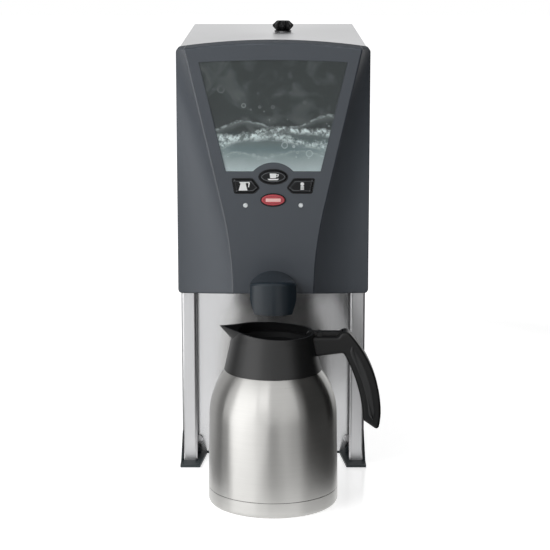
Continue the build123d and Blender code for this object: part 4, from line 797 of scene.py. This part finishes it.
class DispenserButtons(bpy.types.Operator):
    """Finishes the push buttons and prints their signs"""

    bl_idname = "dispenser.buttons"
    bl_label = "Buttons"

    def execute(self, context):
        colours, sizes, _ = settings()
        black = moulded_plastic("button_black", colours.button, 0.3, grain=0.04, gloss=0.2)
        dress(black, "jug_button", "cup_button", "column_button")
        red = moulded_plastic("button_red", colours.stop, 0.25, grain=0.04, gloss=0.35)
        dress(red, "stop_button")
        dress(moulded_plastic("lamp_lens", colours.lamp, 0.2, grain=0.02), "lamp_lenses")
        white = moulded_plastic("sign_white", colours.sign, 0.5, grain=0.02)
        pale = moulded_plastic("sign_pale", colours.stop_sign, 0.5, grain=0.02)
        for name, draw, width, finish, body in (
            ("cup_sign", self.cup_sign, sizes.cup_sign, white, "cup_button"),
            ("jug_sign", self.jug_sign, sizes.jug_sign, white, "jug_button"),
            ("column_sign", self.column_sign, sizes.column_sign, white, "column_button"),
            ("stop_sign", self.stop_sign, sizes.stop_bar, pale, "stop_button"),
        ):
            mesh = bmesh.new()
            draw(mesh, width / SIGN_GRID, sizes.sign_lift)
            low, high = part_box(body)
            x, _, z = (low + high) / 2
            aside = math.copysign(sizes.sign_shift, x) if abs(x) > sizes.sign_shift else 0
            stand_up(mesh, (x + aside, low.y, z))
            make_piece(name, mesh, finish, body)
        self.frame_buttons(sizes, colours)
        return {"FINISHED"}

    def frame_buttons(self, sizes, colours):
        """Lays a black rim round each button's hole, and a band on its face that paints its edge
        highlight.
        """
        rim_inset = sizes.flange_lip - sizes.rim_width
        painted_edge_inset = sizes.flange_lip + sizes.painted_edge_inset
        black = tint(colours.button, 0.9)
        rim = moulded_plastic("rim_black", black, 0.32, grain=0.05, gloss=0.25)
        # Painted edge highlight: pale grey on the black buttons, and a darker red band on the red
        # one
        grey = moulded_plastic("painted_edge_grey", colours.painted_edge, 0.4, grain=0.02)
        dark_red = moulded_plastic("painted_edge_red", tint(colours.stop, 0.35), 0.4, grain=0.02)
        for button in BUTTONS:
            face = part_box(button)[0].y
            mesh = self.band(sizes, button, rim_inset, sizes.rim_width)
            self.print_band(mesh, button, face + sizes.button_stand, sizes.rim_stand)
            make_piece(f"{button}_rim", mesh, rim, "dispenser")
            # The band that paints the edge highlight, on the button's face
            mesh = self.band(sizes, button, painted_edge_inset, sizes.painted_edge_width)
            self.print_band(mesh, button, face, sizes.sign_lift)
            finish = dark_red if button == "stop_button" else grey
            make_piece(f"{button}_contour", mesh, finish, button)

    def band(self, sizes, button, inset, width):
        """A flat band that follows a button's outline, inset from its flange."""
        low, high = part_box(button)
        mesh = bmesh.new()
        if button in ROUND_BUTTONS:
            bmesh.ops.create_circle(mesh, cap_ends=True, segments=64, radius=1)
        else:
            side = 1 if button == "column_button" else -1
            mesh.faces.new([mesh.verts.new((side * x, z, 0)) for x, z in BUTTON_CORNERS[::side]])
        half = (high - low) / 2
        bmesh.ops.scale(mesh, verts=mesh.verts, vec=(half.x, half.z, 1))
        if button not in ROUND_BUTTONS:
            round_corners(mesh, list(mesh.verts), sizes.corner_round, segments=5)
        # The first inset keeps what lies inside it, and the second keeps its ring
        for thickness, keeps_ring in ((inset, False), (width, True)):
            inner = list(mesh.faces)
            ring = bmesh.ops.inset_region(
                mesh, faces=inner, thickness=thickness, use_boundary=True
            )["faces"]
            bmesh.ops.delete(mesh, geom=inner if keeps_ring else ring, context="FACES")
        return mesh

    def print_band(self, mesh, button, face, lift):
        """Gives a band its thickness and puts it on a face in front of its button."""
        raise_faces(mesh, list(mesh.faces), (0, 0, lift))
        low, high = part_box(button)
        x, _, z = (low + high) / 2
        stand_up(mesh, (x, face, z))

    def plate(self, mesh, unit, lift, *corners):
        """A thin flat shape drawn by its corners, counted in units."""
        face = mesh.faces.new([mesh.verts.new((x * unit, y * unit, 0)) for x, y in corners])
        raise_faces(mesh, [face], (0, 0, lift))

    def bar(self, mesh, unit, lift, height, half_length, half_width):
        """A level bar."""
        left, right = -half_length, half_length
        low, high = height - half_width, height + half_width
        self.plate(mesh, unit, lift, (left, low), (right, low), (right, high), (left, high))

    # A pen is a sign's mesh, the length of its unit and its thickness

    def cup_sign(self, *pen):
        """A cup with its handle over a saucer."""
        self.plate(*pen, (-3.2, -1.2), (2.8, -1.2), (3.6, 3.6), (-3.6, 3.6))
        self.plate(*pen, (-6, -2), (-4.4, -3.4), (4.4, -3.4), (6, -2))
        self.plate(*pen, (3.2, 2.9), (5.8, 2.9), (5.8, 2.1), (3.1, 2.1))
        self.plate(*pen, (4.9, 2.1), (5.8, 2.1), (5.0, 0), (4.1, 0))
        self.plate(*pen, (2.9, 0.7), (4.3, 0.5), (4.1, 0), (2.8, 0))

    def jug_sign(self, *pen):
        """A jug that widens to its foot, with a hooked handle."""
        self.plate(*pen, (-5.4, -4.4), (3.2, -4.4), (1.6, 2.2), (-3.6, 2.2))
        self.plate(*pen, (-4.8, 4.0), (-3.7, 2.3), (1.7, 2.3), (1.7, 4.0))
        self.plate(*pen, (1.7, 4.0), (1.7, 3.0), (4.4, 3.0), (4.9, 4.0))
        self.plate(*pen, (4.4, 3.0), (3.9, -1.2), (4.9, -1.2), (5.6, 3.2), (4.9, 4.0))

    def column_sign(self, mesh, unit, lift):
        """A dot over a short column."""
        dot = bmesh.ops.create_circle(mesh, cap_ends=True, segments=28, radius=2.7 * unit)
        bmesh.ops.translate(mesh, verts=dot["verts"], vec=(0, 3 * unit, 0))
        raise_faces(mesh, list(mesh.faces), (0, 0, lift))
        for height in (-0.65, -2.65, -4.65):
            self.bar(mesh, unit, lift, height, half_length=2.5, half_width=0.7)

    def stop_sign(self, mesh, unit, lift):
        """A level bar, the plain sign for halt."""
        self.bar(mesh, unit, lift, 0, half_length=SIGN_GRID / 2, half_width=SIGN_GRID / 9)


class DispenserJug(bpy.types.Operator):
    """Finishes the vacuum jug"""

    bl_idname = "dispenser.jug"
    bl_label = "Vacuum jug"

    def execute(self, context):
        colours, sizes, _ = settings()
        round_lines = (30, 30, 1500)
        steel = brushed_steel(
            "jug_brushed", colours.jug_sheet, round_lines, anisotropy=0.95, turn=QUARTER_TURN
        )
        dress(steel, "jug_body", "jug_base_cap", "inner_flask")
        collar = moulded_plastic("jug_black", colours.black, 0.34, grain=0.1, gloss=0.5)
        dress(collar, "jug_collar")
        grip = moulded_plastic("grip_black", colours.black, 0.38, grain=0.12, gloss=0.3)
        dress(grip, "jug_handle", "thumb_lever", "lever_pin")
        lid = moulded_plastic("lid_black", colours.black, 0.6, grain=0.1, gloss=0.12)
        dress(lid, "jug_lid", "lid_funnel")
        # A dark ring in the seam's groove paints its shade and the dirt in it
        self.seam_shade_and_dirt_line(sizes, cast_metal("seam_shade_and_dirt", colours.seam, 0.5, contrast=0.05))
        matt = moulded_plastic("grip_matt", tint(colours.black, 2.4), 0.5, grain=0.2, gloss=0.45)
        low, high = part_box("jug_handle")
        self.inlay(sizes, "grip_inlay_front", low.y, -1, matt)
        self.inlay(sizes, "grip_inlay_back", high.y, 1, matt)
        return {"FINISHED"}

    def seam_shade_and_dirt_line(self, sizes, finish):
        """A dark line in the groove where the jug's wall meets its base: painted shade of the
        groove, and dirt in it.
        """
        low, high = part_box("jug_base_cap")
        mesh = bmesh.new()
        radius = (high.x - low.x) / 2 - sizes.seam_depth
        bmesh.ops.create_circle(mesh, segments=160, radius=radius)
        wall = bmesh.ops.extrude_edge_only(mesh, edges=list(mesh.edges))["geom"]
        move_verts(mesh, wall, (0, 0, sizes.seam_width))
        bmesh.ops.recalc_face_normals(mesh, faces=mesh.faces)
        bmesh.ops.solidify(mesh, geom=list(mesh.faces), thickness=sizes.seam_depth)
        bmesh.ops.recalc_face_normals(mesh, faces=mesh.faces)
        x, y, _ = (low + high) / 2
        foot = sizes.seam_height - sizes.seam_width / 2
        bmesh.ops.translate(mesh, verts=mesh.verts, vec=(x, y, foot))
        make_piece("seam_shade_and_dirt_line", mesh, finish, "jug")

    def inlay(self, sizes, name, face, out, finish):
        """A matt inlay on one flat side of the grip, a strip that follows its bow."""
        mesh = bmesh.new()
        outer, inner = (
            [mesh.verts.new((x * MILLIMETRE, face, z * MILLIMETRE)) for x, z in side]
            for side in (INLAY_OUTER, INLAY_INNER)
        )
        mesh.faces.new(outer + inner)
        ends = [outer[0], outer[-1], inner[0], inner[-1]]
        round_corners(mesh, ends, sizes.inlay_round, segments=4)
        raised = raise_faces(mesh, list(mesh.faces), (0, out * sizes.inlay_lift, 0))
        bmesh.ops.recalc_face_normals(mesh, faces=mesh.faces)
        top = [item for item in raised if isinstance(item, bmesh.types.BMFace)]
        bmesh.ops.inset_region(
            mesh, faces=top, thickness=sizes.inlay_slope, depth=sizes.inlay_crown,
            use_even_offset=True,
        )
        bmesh.ops.triangulate(mesh, faces=list(mesh.faces))
        bmesh.ops.recalc_face_normals(mesh, faces=mesh.faces)
        make_piece(name, mesh, finish, "jug")


class DispenserInnerWorks(bpy.types.Operator):
    """Finishes the parts inside the housing"""

    bl_idname = "dispenser.inner_works"
    bl_label = "Inner works"

    def execute(self, context):
        colours, _, _ = settings()
        steel = cast_metal("tank_steel", colours.tank, 0.34)
        brass = cast_metal("brass_body", colours.brass, 0.36)
        iron = cast_metal("core_iron", colours.iron, 0.5)
        aluminium = cast_metal("heat_sink_aluminium", colours.aluminium, 0.42)
        resin = moulded_plastic("coil_resin", colours.resin, 0.4)
        green = moulded_plastic("board_green", colours.board, 0.35, grain_scale=700.0)
        rubber = moulded_plastic("seal_rubber", colours.rubber, 0.75, grain=0.2)
        foam = moulded_plastic("foam_jacket", colours.foam, 0.9, grain_scale=420.0, grain=0.5)
        silicone = moulded_plastic("silicone_hose", colours.hose, 0.5)
        ceramic = moulded_plastic("white_ceramic", colours.ceramic, 0.3, grain=0.03)
        dress(steel, "boiler_tank", "boiler_lid", "heating_element", "filler_neck")
        dress(brass, "outlet_valve", "inlet_valve")
        dress(iron, "outlet_plunger", "inlet_plunger", "transformer")
        dress(aluminium, "relay_heat_sink")
        dress(resin, "outlet_coil", "inlet_coil", "thermal_cutout", "push_switches")
        dress(green, "control_board", "power_board")
        dress(rubber, "lid_gasket", "plug_seal")
        dress(foam, "insulation_jacket")
        dress(silicone, "outlet_hose", "fill_hose")
        dress(ceramic, "level_probes")
        return {"FINISHED"}


class DispenserPanel(bpy.types.Panel):
    """Lists the dispenser's steps and settings in the sidebar"""

    bl_idname = "VIEW3D_PT_dispenser"
    bl_label = "Dispenser"
    bl_space_type = "VIEW_3D"
    bl_region_type = "UI"
    bl_category = "Dispenser"

    def draw(self, context):
        for operator in STEPS:
            self.layout.operator(operator.bl_idname)
        for group in settings():
            for name in group.bl_rna.properties.keys():
                if name not in ("rna_type", "name"):
                    self.layout.prop(group, name)


STEPS = (
    DispenserStage,
    DispenserSheetMetal,
    DispenserMouldings,
    DispenserPicture,
    DispenserButtons,
    DispenserJug,
    DispenserInnerWorks,
)
GROUPS = (
    ("dispenser_colours", DispenserColours),
    ("dispenser_sizes", DispenserSizes),
    ("dispenser_studio", DispenserStudio),
)


def register():
    for name, group in GROUPS:
        bpy.utils.register_class(group)
        setattr(bpy.types.Scene, name, PointerProperty(type=group))
    for kind in (*STEPS, DispenserPanel):
        bpy.utils.register_class(kind)


def unregister():
    for kind in reversed((*STEPS, DispenserPanel)):
        bpy.utils.unregister_class(kind)
    for name, group in reversed(GROUPS):
        delattr(bpy.types.Scene, name)
        bpy.utils.unregister_class(group)


def main():
    register()
    for operator in STEPS:
        _, call = operator.bl_idname.split(".")
        getattr(bpy.ops.dispenser, call)()


if __name__ == "__main__":
    main()
